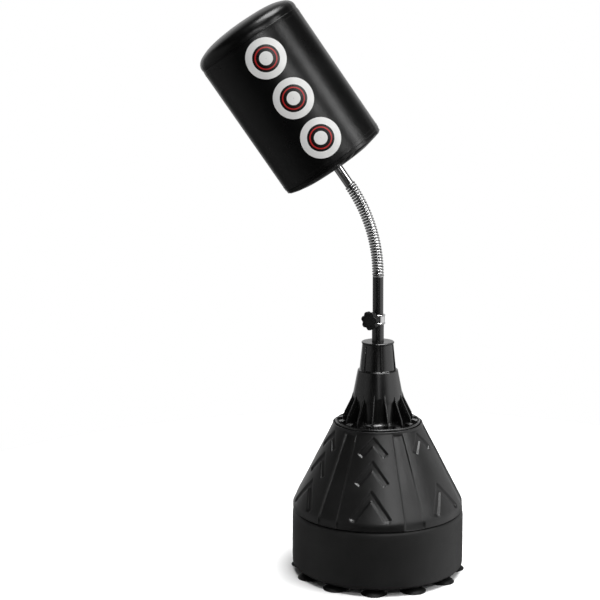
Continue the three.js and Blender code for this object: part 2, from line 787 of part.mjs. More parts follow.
function piping(along) {
  return turned(arc(BAG_RADIUS - 1, along, PIPING_RADIUS, 0, 288, 4), BAG_SIDES);
}

// ---- the object ----
const object = new THREE.Group();

function material(color, roughness, metalness = 0) {
  return new THREE.MeshStandardMaterial({ color, roughness, metalness });
}

const BLACK_PLASTIC = [0x17181a, 0.5];
const GLOSS_PLASTIC = [0x101113, 0.25];
const RUBBER = [0x0d0d0e, 0.7];
const BLACK_PAINT = [0x0c0c0d, 0.35, 0.4];
const CHROME = [0xd9dcdf, 0.08, 1];
const ZINC = [0xa8abae, 0.4, 1];
const VINYL = [0x0b0b0c, 0.3];
const FOAM = [0x8a8d90, 0.95];

// The largest body of a solid: a cut can leave a sliver of no volume beside it.
function mainBody(manifold) {
  return manifold.decompose().reduce((a, b) => (b.volume() > a.volume() ? b : a));
}

function place(name, manifold, look, frame) {
  const mesh = new THREE.Mesh(geometryOf(mainBody(manifold)), material(...look));
  mesh.name = name;
  if (frame) mesh.applyMatrix4(frame);
  object.add(mesh);
}

place("base_tank", tank(), BLACK_PLASTIC);
for (let i = 0; i < CUP_COUNT; i++) {
  const at = around(CUP_RING_RADIUS, CUP_PHASE + (360 / CUP_COUNT) * i, 0);
  const frame = new THREE.Matrix4().setPosition(at);
  place(`suction_cup_${String(i + 1).padStart(2, "0")}`, suctionCup(), RUBBER, frame);
}
place("cap_gasket", capGasket(), RUBBER, fillFrame);
place("fill_cap", fillCap(), BLACK_PLASTIC, fillFrame);

place("neck_collar", neckCollar(), GLOSS_PLASTIC);
place("mast_foot_plate", mastFootPlate(), ZINC);
place("lower_tube", lowerTube(), BLACK_PAINT);
place("mast_clamp", mastClamp(), CHROME);
place("clamp_pad", clampPad(), ZINC, knobFrame);
place("clamp_stud", clampStud(), ZINC, knobFrame);
place("clamp_knob", clampKnob(), BLACK_PLASTIC, knobFrame);
place("guide_bush", guideBush(), BLACK_PLASTIC);
place("upper_tube", upperTube(), BLACK_PAINT);
place("spring_lower_plug", lowerSpringPlug(), ZINC);

for (let i = 0; i <= SPRING_ZONES; i++) {
  const start = Math.max(0, (i - 0.5) * ZONE);
  const end = Math.min(SPRING_LENGTH, (i + 0.5) * ZONE);
  const stack = springCoils(end - start - SECTION_GAP);
  place(`neck_spring_${i}`, stack, CHROME, neckFrame((start + end) / 2));
}

const bagFrame = neckFrame(SPRING_LENGTH);
place("spring_upper_plug", upperSpringPlug(), ZINC, bagFrame);
place("chrome_rod", chromeRod(), CHROME, bagFrame);
place("bag_hub", bagHub(), BLACK_PLASTIC, bagFrame);
place("hub_bolt", hubBolt(), ZINC, bagFrame);
place("hub_nut", hubNut(), ZINC, bagFrame);
place("foam_wall", foamWall(), FOAM, bagFrame);
place("foam_top", foamTop(), FOAM, bagFrame);
place("cover_side", coverSide(), VINYL, bagFrame);
place("cover_top", coverTop(), VINYL, bagFrame);
place("cover_bottom", coverBottom(), VINYL, bagFrame);
place("piping_top", piping(BAG_BOTTOM + BAG_LENGTH - TOP_SEAM), VINYL, bagFrame);
place("piping_bottom", piping(BAG_BOTTOM + BOTTOM_SEAM), VINYL, bagFrame);

export default object;
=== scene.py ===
import json
import math

import bpy
import numpy as np
from mathutils import Matrix, Vector


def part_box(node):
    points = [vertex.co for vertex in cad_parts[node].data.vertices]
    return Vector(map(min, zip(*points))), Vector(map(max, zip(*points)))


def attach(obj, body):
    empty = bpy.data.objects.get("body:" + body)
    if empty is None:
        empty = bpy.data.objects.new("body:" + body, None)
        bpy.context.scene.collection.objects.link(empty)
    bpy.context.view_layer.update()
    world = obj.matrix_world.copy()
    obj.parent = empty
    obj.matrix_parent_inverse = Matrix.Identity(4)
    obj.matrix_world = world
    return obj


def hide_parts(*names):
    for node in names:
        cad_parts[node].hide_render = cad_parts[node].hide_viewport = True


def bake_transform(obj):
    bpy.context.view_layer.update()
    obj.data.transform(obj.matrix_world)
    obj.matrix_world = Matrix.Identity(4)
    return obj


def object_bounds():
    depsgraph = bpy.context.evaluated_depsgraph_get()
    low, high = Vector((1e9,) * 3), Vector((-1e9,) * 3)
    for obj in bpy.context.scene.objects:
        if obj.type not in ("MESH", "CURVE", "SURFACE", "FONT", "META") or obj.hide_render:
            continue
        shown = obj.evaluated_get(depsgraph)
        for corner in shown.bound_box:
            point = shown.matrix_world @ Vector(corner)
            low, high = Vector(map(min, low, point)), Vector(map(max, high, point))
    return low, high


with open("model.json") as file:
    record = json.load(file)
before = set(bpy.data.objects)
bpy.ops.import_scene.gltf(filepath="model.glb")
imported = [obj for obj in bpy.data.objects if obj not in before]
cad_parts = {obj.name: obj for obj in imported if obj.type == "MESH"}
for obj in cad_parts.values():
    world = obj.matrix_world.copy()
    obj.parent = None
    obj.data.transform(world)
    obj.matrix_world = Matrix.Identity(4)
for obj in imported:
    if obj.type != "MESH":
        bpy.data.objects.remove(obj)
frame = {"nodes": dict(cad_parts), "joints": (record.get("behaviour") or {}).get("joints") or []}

# Looks of a free-standing rebound bag, in metres. Angles round the mast are degrees from the
# front (-Y) towards +X. The dimensions are part.mjs's, unless a note says otherwise.
MM = 0.001
TURN = 2 * math.pi
GAP = 0.3 * MM
CAD_LOW, CAD_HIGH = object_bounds()
JOINTS = {joint["name"]: joint for joint in frame["joints"]}

# camera
CAMERA_PLACE = (-0.2045, -3.696, 1.358)
CAMERA_PITCH = 9.8
CAMERA_ROLL = -0.38
LENS = 85.8
SENSOR = 36

# tank
SUCTION_CUPS = 12
DRUM_FOOT_RADIUS = 152 * MM
TANK_SEAM = 158 * MM
CONE_FOOT_RADIUS = 227 * MM
CONE_FOOT_TOP = 167 * MM
CONE_SHOULDER = 177 * MM
CONE_START = 187 * MM  # of the slope as it is drawn, above the rounded shoulder
RIM_RADIUS = 120 * MM
RIM_HEIGHT = 391 * MM
CONE_TOP = RIM_HEIGHT - 5 * MM
CONE_TILT = math.atan2(CONE_FOOT_RADIUS - RIM_RADIUS, CONE_TOP - CONE_SHOULDER)
DECK_RADIUS = 114.5 * MM
DECK_HEIGHT = 384 * MM
TANK_NECK_RADIUS = 53 * MM
TANK_NECK_TOP = 404 * MM
WELL_FLOOR = 345 * MM
PANELS = 6
PANEL_REACH = 26  # degrees from a panel's middle that its chevrons lie within
FIRST_PANEL = -8
FILL_PANEL = 3
BLANK_PANEL = 1
CHEVRONS = ((376, 76, 50), (321, 86, 64), (252, 105, 79))  # apex, width, height in mm
CHEVRON_ARM = 15  # mm
CHEVRON_DEPTH = 4.2 * MM  # a millimetre more than the CAD's
CHEVRON_EDGE = 3.2  # how wide its sloping wall is, in mm
FLUTE_WIDTH = 14  # degrees
FLUTE_DEPTH = 2.4 * MM
FLUTE_BOW = 2.6 * MM  # how much deeper its middle is
FLUTE_EDGE = 3 * MM
BEAD_HEIGHT = 1.5 * MM
BEAD_WIDTH = 1.7 * MM
WALL_WAVE = 0.35 * MM  # unevenness of the blow moulding
CONE_SIDES = 540
CONE_STEP = 1.9 * MM
FILL_HEIGHT = 292 * MM
FILL_ANGLE = FIRST_PANEL + 180

# collar
SHOULDER_HEIGHT = 462 * MM
SHOULDER_RADIUS = 66.5 * MM
LEDGE_HEIGHT = 532 * MM
LEDGE_RADIUS = 53.3 * MM
LIP_RADIUS = 43.2 * MM
BARREL_RADIUS = 63 * MM
FLANGE_RADIUS = 113 * MM
FINS = 14
FIN_PHASE = 14
FIN_FOOT_RADIUS = 95 * MM
COLLAR_RIBS = 6
COLLAR_RIB_PHASE = 9

# clamp
KNOB_ANGLE = -39
KNOB_LOBES = 7
KNOB_RADIUS = 25 * MM
CLAMP_RADIUS = 19.7 * MM

# sprung neck
NECK_LENGTH = 252 * MM
PLUG_DEPTH = 13 * MM  # the spring's foot, below the top of its lower plug
NECK_ZONES = 8  # one for each joint
COILS = 34
WIRE_RADIUS = 3.15 * MM
COIL_RADIUS = 12.4 * MM  # of the wire's middle
WIRE_SIDES = 14
STEPS_A_COIL = 44
LEAN = -4 * JOINTS["neck_bend_1"]["springref"]

# bag
BAG_COLUMNS = 240
COVER = 2.4 * MM
PIPING_RADIUS = 1.9 * MM
SEAM_GAP = 2.3 * MM  # from an end panel's CAD edge to its seam
PANEL_EDGE = 2.2 * MM  # from a seam's middle
CLOTH_STEP = 7 * MM
SWELL_CAP = 3.5 * MM
VALLEY_DEPTH = 0.6 * MM
PUCKER = 0.55 * MM
STITCH_LENGTH = 4.2 * MM
STITCH_PITCH = 6 * MM
STITCH_RADIUS = 0.55 * MM
HEM = 9 * MM  # from a seam to its row of stitches
TAPE_STITCH = 3.4 * MM  # from the tape's middle
BACK_TAPE = (  # its section, across and out, in mm
    (-5, 0.1), (-5, 0.8), (-0.5, 1.1), (0, 0.4), (0.5, 1.1), (5, 0.8), (5, 0.1), (5, -1), (-5, -1)
)
TARGET_ANGLE = 4
TARGET_SPACING = 118 * MM
TARGET_RINGS = (("ring", "white", 34, 51), ("line", "red", 25, 28), ("dot", "white", 0.5, 17))

# room
FLOOR_RADIUS = 1.7
ROOM_LEVEL = 0.01
BACKDROP_LEVEL = 1.0
RIGHT_LEVEL = 1.1
LEFT_LEVEL = 0.35
GROUND_LEVEL = 0.06
SUN_PLACE, SUN_SPREAD, SUN_STRENGTH = (0.4, 0.1, 4), 40, 5.0
SOFTBOXES = (  # name, place, what it faces, size, watts
    ("key", (2.2, -1.1, 2.3), (0, 0, 0.6), (0.8, 1.5), 26),
    ("front", (0.2, -4.2, 1.3), (0, 0, 0.8), (0.6, 1.6), 3),
    ("above", (0.1, -1.7, 3.7), (0, 0, 0.45), (1.0, 0.5), 5),
    ("brow", (0.9, -2.8, 2.2), (0, 0, 0.45), (1.8, 0.14), 24),
)


# ---- mesh helpers ----
def radians(degrees):
    return degrees * math.pi / 180


def smooth(t):
    t = np.clip(t, 0, 1)
    return t * t * (3 - 2 * t)


def add_piece(name, points, faces, sharp=35):
    """A mesh object, smooth but for edges sharper than this many degrees."""
    mesh = bpy.data.meshes.new(name)
    mesh.from_pydata([tuple(p) for p in points], [], faces)
    mesh.validate()
    mesh.shade_smooth()
    mesh.set_sharp_from_angle(angle=radians(sharp))
    piece = bpy.data.objects.new(name, mesh)
    bpy.context.scene.collection.objects.link(piece)
    return piece


def in_mm(corners):
    return [tuple(value * MM for value in corner) for corner in corners]


def row_faces(rows, columns, closed=False, flipped=False, start=0, crossed=False):
    """Quads between rows of points that are rings. Closed joins the last row to the first, and
    crossed starts each quad a corner on, so that it is split along its other diagonal."""
    faces = []
    for i in range(rows if closed else rows - 1):
        low, high = start + i * columns, start + (i + 1) % rows * columns
        for k in range(columns):
            m = (k + 1) % columns
            face = (low + k, low + m, high + m, high + k)
            if flipped:
                face = (low + k, high + k, high + m, low + m)
            faces.append(face[1:] + face[:1] if crossed else face)
    return faces


def pole_faces(rows, columns):
    """Fans from two points after the rows, to the first row and to the last."""
    first, ring = rows * columns, (rows - 1) * columns
    faces = []
    for k in range(columns):
        m = (k + 1) % columns
        faces += [(first, m, k), (first + 1, ring + k, ring + m)]
    return faces


def ends(rows, columns, flipped=False):
    """One flat face on the first row and one on the last."""
    low, high = range(columns), range((rows - 1) * columns, rows * columns)
    if flipped:
        return [tuple(low), tuple(reversed(high))]
    return [tuple(reversed(low)), tuple(high)]


def rounded(corners, steps=5):
    """An outline of (radius, height) points from corners of (radius, height, rounding)."""
    outline = []
    for i, corner in enumerate(corners):
        here = np.array(corner[:2], float)
        size = corner[2] if len(corner) > 2 else 0
        if not size or i in (0, len(corners) - 1):
            outline.append(here)
            continue
        back = np.array(corners[i - 1][:2], float) - here
        ahead = np.array(corners[i + 1][:2], float) - here
        reach = min(size, 0.45 * np.linalg.norm(back), 0.45 * np.linalg.norm(ahead))
        start = here + back / np.linalg.norm(back) * reach
        end = here + ahead / np.linalg.norm(ahead) * reach
        for k in range(steps + 1):
            t = k / steps
            outline.append((1 - t) ** 2 * start + 2 * t * (1 - t) * here + t * t * end)
    return np.array(outline)


def revolve(outline, sides, wobble=None):
    """Points and faces of an outline turned about Z. An outline that starts and ends on the
    axis makes a closed body; any other closes on itself. wobble(angle, radius, height) gives
    new radii and heights."""
    outline = np.asarray(outline, float)
    poles = outline[0][0] < 1e-9 and outline[-1][0] < 1e-9
    body = outline[1:-1] if poles else outline
    angle = np.arange(sides) * TURN / sides
    radius = np.repeat(body[:, :1], sides, axis=1)
    height = np.repeat(body[:, 1:], sides, axis=1)
    if wobble:
        radius, height = wobble(np.broadcast_to(angle, radius.shape), radius, height)
    points = np.stack([radius * np.sin(angle), -radius * np.cos(angle), height], axis=-1)
    points = points.reshape(-1, 3)
    faces = row_faces(len(body), sides, closed=not poles)
    if poles:
        points = np.vstack([points, [0, 0, outline[0][1]], [0, 0, outline[-1][1]]])
        faces += pole_faces(len(body), sides)
    return points, faces


def transformed(points, place):
    place = np.array(place, float)
    return np.asarray(points, float) @ place[:3, :3].T + place[:3, 3]


def turned(name, corners, sides=96, place=None, wobble=None, steps=5):
    points, faces = revolve(rounded(corners, steps), sides, wobble)
    if place is not None:
        points = transformed(points, place)
    return add_piece(name, points, faces)


def joined(parts):
    """Several bodies' points and faces as one."""
    points, faces, count = [], [], 0
    for part_points, part_faces in parts:
        points.append(np.asarray(part_points, float))
        faces += [tuple(i + count for i in face) for face in part_faces]
        count += len(part_points)
    return np.vstack(points), faces


def slab(outline, thickness, bevel):
    """A plate about z = 0 from a closed outline of (x, y) points, its edges rounded."""
    outline = np.asarray(outline, float)
    middle = outline.mean(axis=0)
    following = np.roll(outline, -1, axis=0) - outline
    preceding = outline - np.roll(outline, 1, axis=0)
    inward = np.zeros(outline.shape)
    for side in (following, preceding):
        inward -= np.column_stack([side[:, 1], -side[:, 0]]) / np.linalg.norm(side, axis=1)[:, None]
    if np.sum((middle - outline) * inward) < 0:
        inward = -inward
    inward = inward / np.maximum(np.linalg.norm(inward, axis=1), 1e-9)[:, None]
    edge = []
    for angle in map(radians, (0, 30, 60, 90)):
        rise = thickness / 2 - bevel * (1 - math.sin(angle))
        edge.append((bevel * (1 - math.cos(angle)), rise))
    edge = [(inset, -rise) for inset, rise in reversed(edge)] + edge
    count = len(outline)
    layers = [
        np.column_stack([outline + inward * inset, np.full(count, rise)]) for inset, rise in edge
    ]
    return np.vstack(layers), ends(len(edge), count) + row_faces(len(edge), count)


def outward(degrees, tilt=0.0, place=(0, 0, 0)):
    """The frame whose Z axis leaves the object's axis at this angle from the front, tilted up."""
    angle = radians(degrees)
    side = Vector((math.cos(angle), math.sin(angle), 0))
    out = Vector((math.sin(angle), -math.cos(angle), 0))
    normal = out * math.cos(tilt) + Vector((0, 0, math.sin(tilt)))
    up = normal.cross(side)
    matrix = Matrix((side, up, normal)).transposed().to_4x4()
    matrix.translation = place
    return matrix


def around(radius, degrees, height):
    angle = radians(degrees)
    return Vector((radius * math.sin(angle), -radius * math.cos(angle), height))


def spoke(degrees):
    """Turns +X to point away from the axis at this angle from the front."""
    return Matrix.Rotation(radians(degrees - 90), 4, "Z")


def cone_radius(height):
    return RIM_RADIUS + (CONE_TOP - height) * math.tan(CONE_TILT)


def neck(along):
    """The frame this far up the neck's centreline: Z along it, Y to the back."""
    bend = NECK_LENGTH / LEAN
    angle = min(max(along, 0) / bend, LEAN)
    past = max(along - NECK_LENGTH, 0)
    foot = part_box("spring_lower_plug")[1].z - PLUG_DEPTH
    x = -bend * (1 - math.cos(angle)) - past * math.sin(angle)
    z = foot + bend * math.sin(angle) + past * math.cos(angle)
    return Matrix.Translation((x, 0, z)) @ Matrix.Rotation(-angle, 4, "Y")


def reach(node, place=None):
    """A CAD node's greatest radius, and its lowest and highest point, on a frame's Z axis."""
    inverse = np.array((place or Matrix.Identity(4)).inverted(), float)
    points = np.array([v.co for v in frame["nodes"][node].data.vertices], float)
    points = transformed(points, inverse)
    return np.hypot(points[:, 0], points[:, 1]).max(), points[:, 2].min(), points[:, 2].max()


BAG = neck(NECK_LENGTH)
KNOB_PLACE = outward(KNOB_ANGLE, 0, Vector(JOINTS["knob_turn"]["pos_m"]))
FILL_POINT = around(cone_radius(FILL_HEIGHT), FILL_ANGLE, FILL_HEIGHT)
FILL_PLACE = outward(FILL_ANGLE, CONE_TILT, FILL_POINT)
LOWER_BORE = reach("lower_tube")[0] + GAP


# ---- materials ----
def value_range(tree, source, low, high):
    node = tree.nodes.new("ShaderNodeMapRange")
    node.inputs["To Min"].default_value = low
    node.inputs["To Max"].default_value = high
    tree.links.new(source, node.inputs["Value"])
    return node.outputs["Result"]


def noise(tree, coordinates, scale, detail=4.0, roughness=0.55, stretch=(1, 1, 1)):
    mapping = tree.nodes.new("ShaderNodeMapping")
    mapping.inputs["Scale"].default_value = stretch
    tree.links.new(coordinates, mapping.inputs["Vector"])
    node = tree.nodes.new("ShaderNodeTexNoise")
    node.inputs["Scale"].default_value = scale
    node.inputs["Detail"].default_value = detail
    node.inputs["Roughness"].default_value = roughness
    tree.links.new(mapping.outputs["Vector"], node.inputs["Vector"])
    return node.outputs["Fac"]


def cells(tree, coordinates, scale):
    """Small raised cells, as in leather grain or textured plastic."""
    node = tree.nodes.new("ShaderNodeTexVoronoi")
    node.feature = "SMOOTH_F1"
    node.inputs["Scale"].default_value = scale
    tree.links.new(coordinates, node.inputs["Vector"])
    return node.outputs["Distance"]


def bump(tree, height, strength, distance, under=None):
    node = tree.nodes.new("ShaderNodeBump")
    node.inputs["Strength"].default_value = strength
    node.inputs["Distance"].default_value = distance
    tree.links.new(height, node.inputs["Height"])
    if under is not None:
        tree.links.new(under, node.inputs["Normal"])
    return node.outputs["Normal"]


def surface(name, dark, light, rough, mottle, gloss=0.5, metallic=0.0):
    """A Principled material whose colour and roughness vary between two values. Returns the
    material, its tree, object coordinates and shader."""
    material = bpy.data.materials.new(name)
    material.use_nodes = True
    tree = material.node_tree
    shader = tree.nodes["Principled BSDF"]
    shader.inputs["Metallic"].default_value = metallic
    shader.inputs["Specular IOR Level"].default_value = gloss
    place = tree.nodes.new("ShaderNodeTexCoord").outputs["Object"]
    pattern = noise(tree, place, mottle)
    ramp = tree.nodes.new("ShaderNodeValToRGB")
    ramp.color_ramp.elements[0].position = 0.3
    ramp.color_ramp.elements[1].position = 0.7
    ramp.color_ramp.elements[0].color = (*dark, 1)
    ramp.color_ramp.elements[1].color = (*light, 1)
    tree.links.new(pattern, ramp.inputs["Fac"])
    tree.links.new(ramp.outputs["Color"], shader.inputs["Base Color"])
    second = noise(tree, place, mottle * 2.7)
    tree.links.new(value_range(tree, second, *rough), shader.inputs["Roughness"])
    return material, tree, place, shader


def grey(level):
    return (level, level, level)


def moulded_plastic(name, dark, light, rough, grain, depth, gloss):
    material, tree, place, shader = surface(name, grey(dark), grey(light), rough, 14, gloss)
    coarse = bump(tree, noise(tree, place, 60, 3), 0.25, 0.6 * MM)
    fine = bump(tree, cells(tree, place, grain), 0.5, depth, coarse)
    tree.links.new(fine, shader.inputs["Normal"])
    return material


def metal(name, dark, light, rough, scratch=0.25):
    dark, light = grey(dark), grey(light)
    material, tree, place, shader = surface(name, dark, light, rough, 30, metallic=1.0)
    drawn = noise(tree, place, 900, 2, stretch=(1, 1, 0.06))
    tree.links.new(bump(tree, drawn, scratch, 0.02 * MM), shader.inputs["Normal"])
    return material


def painted_metal(name):
    material, tree, place, shader = surface(name, grey(0.003), grey(0.006), (0.2, 0.32), 25, 0.9)
    peel = bump(tree, noise(tree, place, 420, 2), 0.2, 0.1 * MM)
    tree.links.new(peel, shader.inputs["Normal"])
    return material


def vinyl(name, rough):
    material, tree, place, shader = surface(name, grey(0.0012), grey(0.0025), rough, 10, 0.3)
    folds = bump(tree, noise(tree, place, 16, 2), 0.35, 2.2 * MM)
    grain = bump(tree, cells(tree, place, 620), 0.35, 0.25 * MM, folds)
    pores = bump(tree, noise(tree, place, 2400, 2), 0.3, 0.06 * MM, grain)
    tree.links.new(pores, shader.inputs["Normal"])
    return material


def rubber(name):
    material, tree, place, shader = surface(name, grey(0.002), grey(0.005), (0.5, 0.7), 40, 0.2)
    speckle = bump(tree, noise(tree, place, 700, 3), 0.35, 0.15 * MM)
    tree.links.new(speckle, shader.inputs["Normal"])
    return material


def foam(name):
    material, tree, place, shader = surface(name, grey(0.3), grey(0.42), (0.9, 1.0), 30)
    tree.links.new(bump(tree, cells(tree, place, 500), 0.8, 1.0 * MM), shader.inputs["Normal"])
    return material


def thread(name):
    material, tree, place, shader = surface(name, grey(0.004), grey(0.008), (0.5, 0.7), 60, 0.3)
    twist = noise(tree, place, 1800, 2, stretch=(1, 1, 0.4))
    tree.links.new(bump(tree, twist, 0.6, 0.2 * MM), shader.inputs["Normal"])
    return material


def ink(name, dark, light):
    material, tree, place, shader = surface(name, dark, light, (0.3, 0.42), 18, 0.4)
    grain = bump(tree, cells(tree, place, 620), 0.3, 0.2 * MM)
    tree.links.new(grain, shader.inputs["Normal"])
    return material


MATERIALS = {
    "tank": moulded_plastic("tank_plastic", 0.003, 0.006, (0.3, 0.42), 900, 0.3 * MM, 0.5),
    "drum": moulded_plastic("drum_plastic", 0.006, 0.009, (0.44, 0.54), 1500, 0.15 * MM, 0.35),
    "collar": moulded_plastic("collar_plastic", 0.002, 0.004, (0.2, 0.3), 1500, 0.08 * MM, 0.9),
    "small": moulded_plastic("small_plastic", 0.003, 0.006, (0.38, 0.5), 1200, 0.15 * MM, 0.3),
    "paint": painted_metal("tube_paint"),
    "chrome": metal("chrome", 0.6, 0.72, (0.06, 0.12)),
    "spring": metal("spring_chrome", 0.5, 0.66, (0.1, 0.2), 0.4),
    "zinc": metal("zinc_steel", 0.5, 0.64, (0.3, 0.46), 0.5),
    "rubber": rubber("cup_rubber"),
    "vinyl": vinyl("vinyl", (0.24, 0.34)),
    "piping": vinyl("piping_vinyl", (0.26, 0.36)),
    "foam": foam("foam"),
    "thread": thread("thread"),
    "white": ink("white_ink", (0.66, 0.66, 0.65), (0.76, 0.76, 0.75)),
    "red": ink("red_ink", (0.36, 0.012, 0.012), (0.48, 0.02, 0.018)),
}


def finish_piece(piece, look, body=None, *nodes):
    """Gives a piece its material, stands it for CAD nodes and rides it on a body."""
    piece.data.materials.append(MATERIALS[look])
    if nodes:
        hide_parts(*nodes)
    if body:
        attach(piece, body)


KEPT_NODES = {
    "cap_gasket": "rubber",
    "mast_foot_plate": "zinc",
    "clamp_pad": "zinc",
    "clamp_stud": "zinc",
    "guide_bush": "small",
    "spring_lower_plug": "zinc",
    "spring_upper_plug": "zinc",
    "bag_hub": "small",
    "hub_bolt": "zinc",
    "hub_nut": "zinc",
    "foam_wall": "foam",
    "foam_top": "foam",
}


def kept_nodes():
    """The CAD nodes that stay as they are, in better materials."""
    for node, look in KEPT_NODES.items():
        mesh = frame["nodes"][node].data
        mesh.materials.clear()
        mesh.materials.append(MATERIALS[look])


# ---- tank ----
def polygon_distance(x, y, outline):
    """Signed distance from points to a closed outline, negative inside."""
    best = np.full(x.shape, 1e9)
    inside = np.zeros(x.shape, bool)
    for (ax, ay), (bx, by) in zip(outline, outline[1:] + outline[:1]):
        ex, ey = bx - ax, by - ay
        t = np.clip(((x - ax) * ex + (y - ay) * ey) / (ex * ex + ey * ey), 0, 1)
        best = np.minimum(best, np.hypot(x - ax - t * ex, y - ay - t * ey))
        crosses = (ay > y) != (by > y)
        at = ax + (y - ay) * ex / (ey if abs(ey) > 1e-9 else 1e-9)
        inside ^= crosses & (x < at)
    return np.where(inside, -best, best)


def chevron_outline(width, height):
    """One chevron's outline in mm, apex up at (0, 0)."""
    half = width / 2
    fall = height - CHEVRON_ARM * 0.55
    length = math.hypot(half, fall)
    ax, ay = CHEVRON_ARM * fall / length, CHEVRON_ARM * half / length
    return [
        (0, 0),
        (half, -fall),
        (half - ax, -fall - ay),
        (0, -CHEVRON_ARM * length / half),
        (-half + ax, -fall - ay),
        (-half, -fall),
    ]


def cone_relief(angle, radius, height):
    """How deep the cone's pattern is at each point: chevrons, flutes and their beads. The
    beads stand proud, so they count as less than nothing."""

    def past(degrees):
        return (np.degrees(angle) - degrees + 180) % 360 - 180

    depth = np.zeros(radius.shape)
    points = np.stack([radius * np.sin(angle), -radius * np.cos(angle), height], axis=-1)
    for panel in range(PANELS):
        middle = FIRST_PANEL + 360 / PANELS * panel
        near = np.abs(past(middle)) < PANEL_REACH
        for row, (apex, width, tall) in enumerate(CHEVRONS):
            if row == 1 and panel in (FILL_PANEL, BLANK_PANEL):
                continue
            at = around(cone_radius(apex * MM) - 30 * MM, middle, (apex - 12) * MM)
            local = transformed(points[near], outward(middle, CONE_TILT, at).inverted()) / MM
            away = polygon_distance(local[:, 0], local[:, 1], chevron_outline(width, tall))
            cut = CHEVRON_DEPTH * smooth(0.5 - away / CHEVRON_EDGE)
            depth[near] = np.maximum(depth[near], cut)
        off = radians(past(middle + 180 / PANELS)) * radius
        half = radians(FLUTE_WIDTH / 2) * radius
        hollow = FLUTE_DEPTH + FLUTE_BOW * (1 - np.minimum(1, (off / half) ** 2))
        depth = np.maximum(depth, hollow * smooth((half - np.abs(off)) / FLUTE_EDGE + 0.5))
        ridge = (np.abs(off) - half - 1.6 * MM) / BEAD_WIDTH
        depth -= BEAD_HEIGHT * np.exp(-ridge * ridge)
    return depth


def cone():
    """The tank's cone, from the seam up to the neck and down its well."""
    start = np.array([cone_radius(CONE_START), CONE_START])
    end = np.array([RIM_RADIUS, CONE_TOP])
    foot = rounded(
        [
            (0, TANK_SEAM),
            (CONE_FOOT_RADIUS - 2 * MM, TANK_SEAM, 0),
            (CONE_FOOT_RADIUS, TANK_SEAM + 1.5 * MM, 1.5 * MM),
            (CONE_FOOT_RADIUS, 0.5 * (CONE_FOOT_TOP + CONE_START) - 1 * MM, 14 * MM),
            tuple(start),
        ],
        8,
    )
    count = int(np.linalg.norm(end - start) / CONE_STEP)
    slope = start + (end - start) * np.linspace(0, 1, count + 1)[1:, None]
    top = rounded(
        [
            tuple(end),
            (RIM_RADIUS - 0.5 * MM, RIM_HEIGHT, 3 * MM),
            (RIM_RADIUS - 4 * MM, RIM_HEIGHT, 2 * MM),
            (DECK_RADIUS, DECK_HEIGHT, 1 * MM),
            (TANK_NECK_RADIUS, DECK_HEIGHT, 1 * MM),
            (TANK_NECK_RADIUS, TANK_NECK_TOP, 1 * MM),
            (LOWER_BORE, TANK_NECK_TOP, 1 * MM),
            (LOWER_BORE, WELL_FLOOR),
            (0, WELL_FLOOR),
        ],
        4,
    )
    outline = np.vstack([foot, slope, top[1:]])
    normal = np.array([math.cos(CONE_TILT), math.sin(CONE_TILT)])

    def pattern(angle, radius, height):
        shown = smooth((height - TANK_SEAM - 1.5 * MM) / (3 * MM))
        shown *= smooth((RIM_HEIGHT - 6 * MM - height) / (4 * MM))
        shown *= radius > DECK_RADIUS + 3 * MM
        depth = cone_relief(angle, radius, height) * shown
        wave = np.sin(3 * angle + 40 * height) * np.sin(5 * angle - 26 * height + 1.3)
        depth = depth + WALL_WAVE * wave * shown
        return radius - depth * normal[0], height - depth * normal[1]

    points, faces = revolve(outline, CONE_SIDES, pattern)
    finish_piece(add_piece("tank_cone", points, faces, 50), "tank", "base", "base_tank")


def drum():
    """The tank's drum, below the seam."""
    radius = reach("base_tank")[0]
    corners = [
        (0, 0),
        (DRUM_FOOT_RADIUS - 2 * MM, 0, 1 * MM),
        (DRUM_FOOT_RADIUS, 2 * MM, 1 * MM),
        (radius - 8 * MM, 2 * MM, 2 * MM),
        (radius - 0.4 * MM, 8 * MM, 7 * MM),
        (radius, 30 * MM, 10 * MM),
        (radius, 80 * MM, 20 * MM),
        (radius, 141 * MM, 10 * MM),
        (radius - 1.2 * MM, 150 * MM, 5 * MM),
        (radius - 4.2 * MM, 155.5 * MM, 3 * MM),
        (radius - 9 * MM, TANK_SEAM - 0.4 * MM, 2 * MM),
        (0, TANK_SEAM - 0.4 * MM),
    ]

    def waves(angle, radius, height):
        swell = np.sin(4 * angle + 0.7) * np.sin(height * 34)
        swell += 0.6 * np.sin(7 * angle - 22 * height)
        return radius + 0.3 * MM * swell * (radius > 0.2), height

    piece = turned("tank_drum", corners, 240, wobble=waves, steps=8)
    finish_piece(piece, "drum", "base", "base_tank")


def filler_neck():
    """The threaded mouth at the back of the cone, on a pad let into its wall."""
    pad = [(20, -9), (36, -9), (36, 2, 2), (24, 2, 1.5)]
    thread_low = [(24, 4, 0.5), (24.5, 5, 0.5), (24, 6, 0.5)]
    thread_high = [(24, 8, 0.5), (24.5, 9, 0.5), (24, 10, 0.5)]
    mouth = [(24, 12, 1), (20, 12, 1)]
    corners = in_mm(pad + thread_low + thread_high + mouth)
    piece = turned("tank_filler_neck", corners, 96, FILL_PLACE)
    finish_piece(piece, "tank", "base", "base_tank")


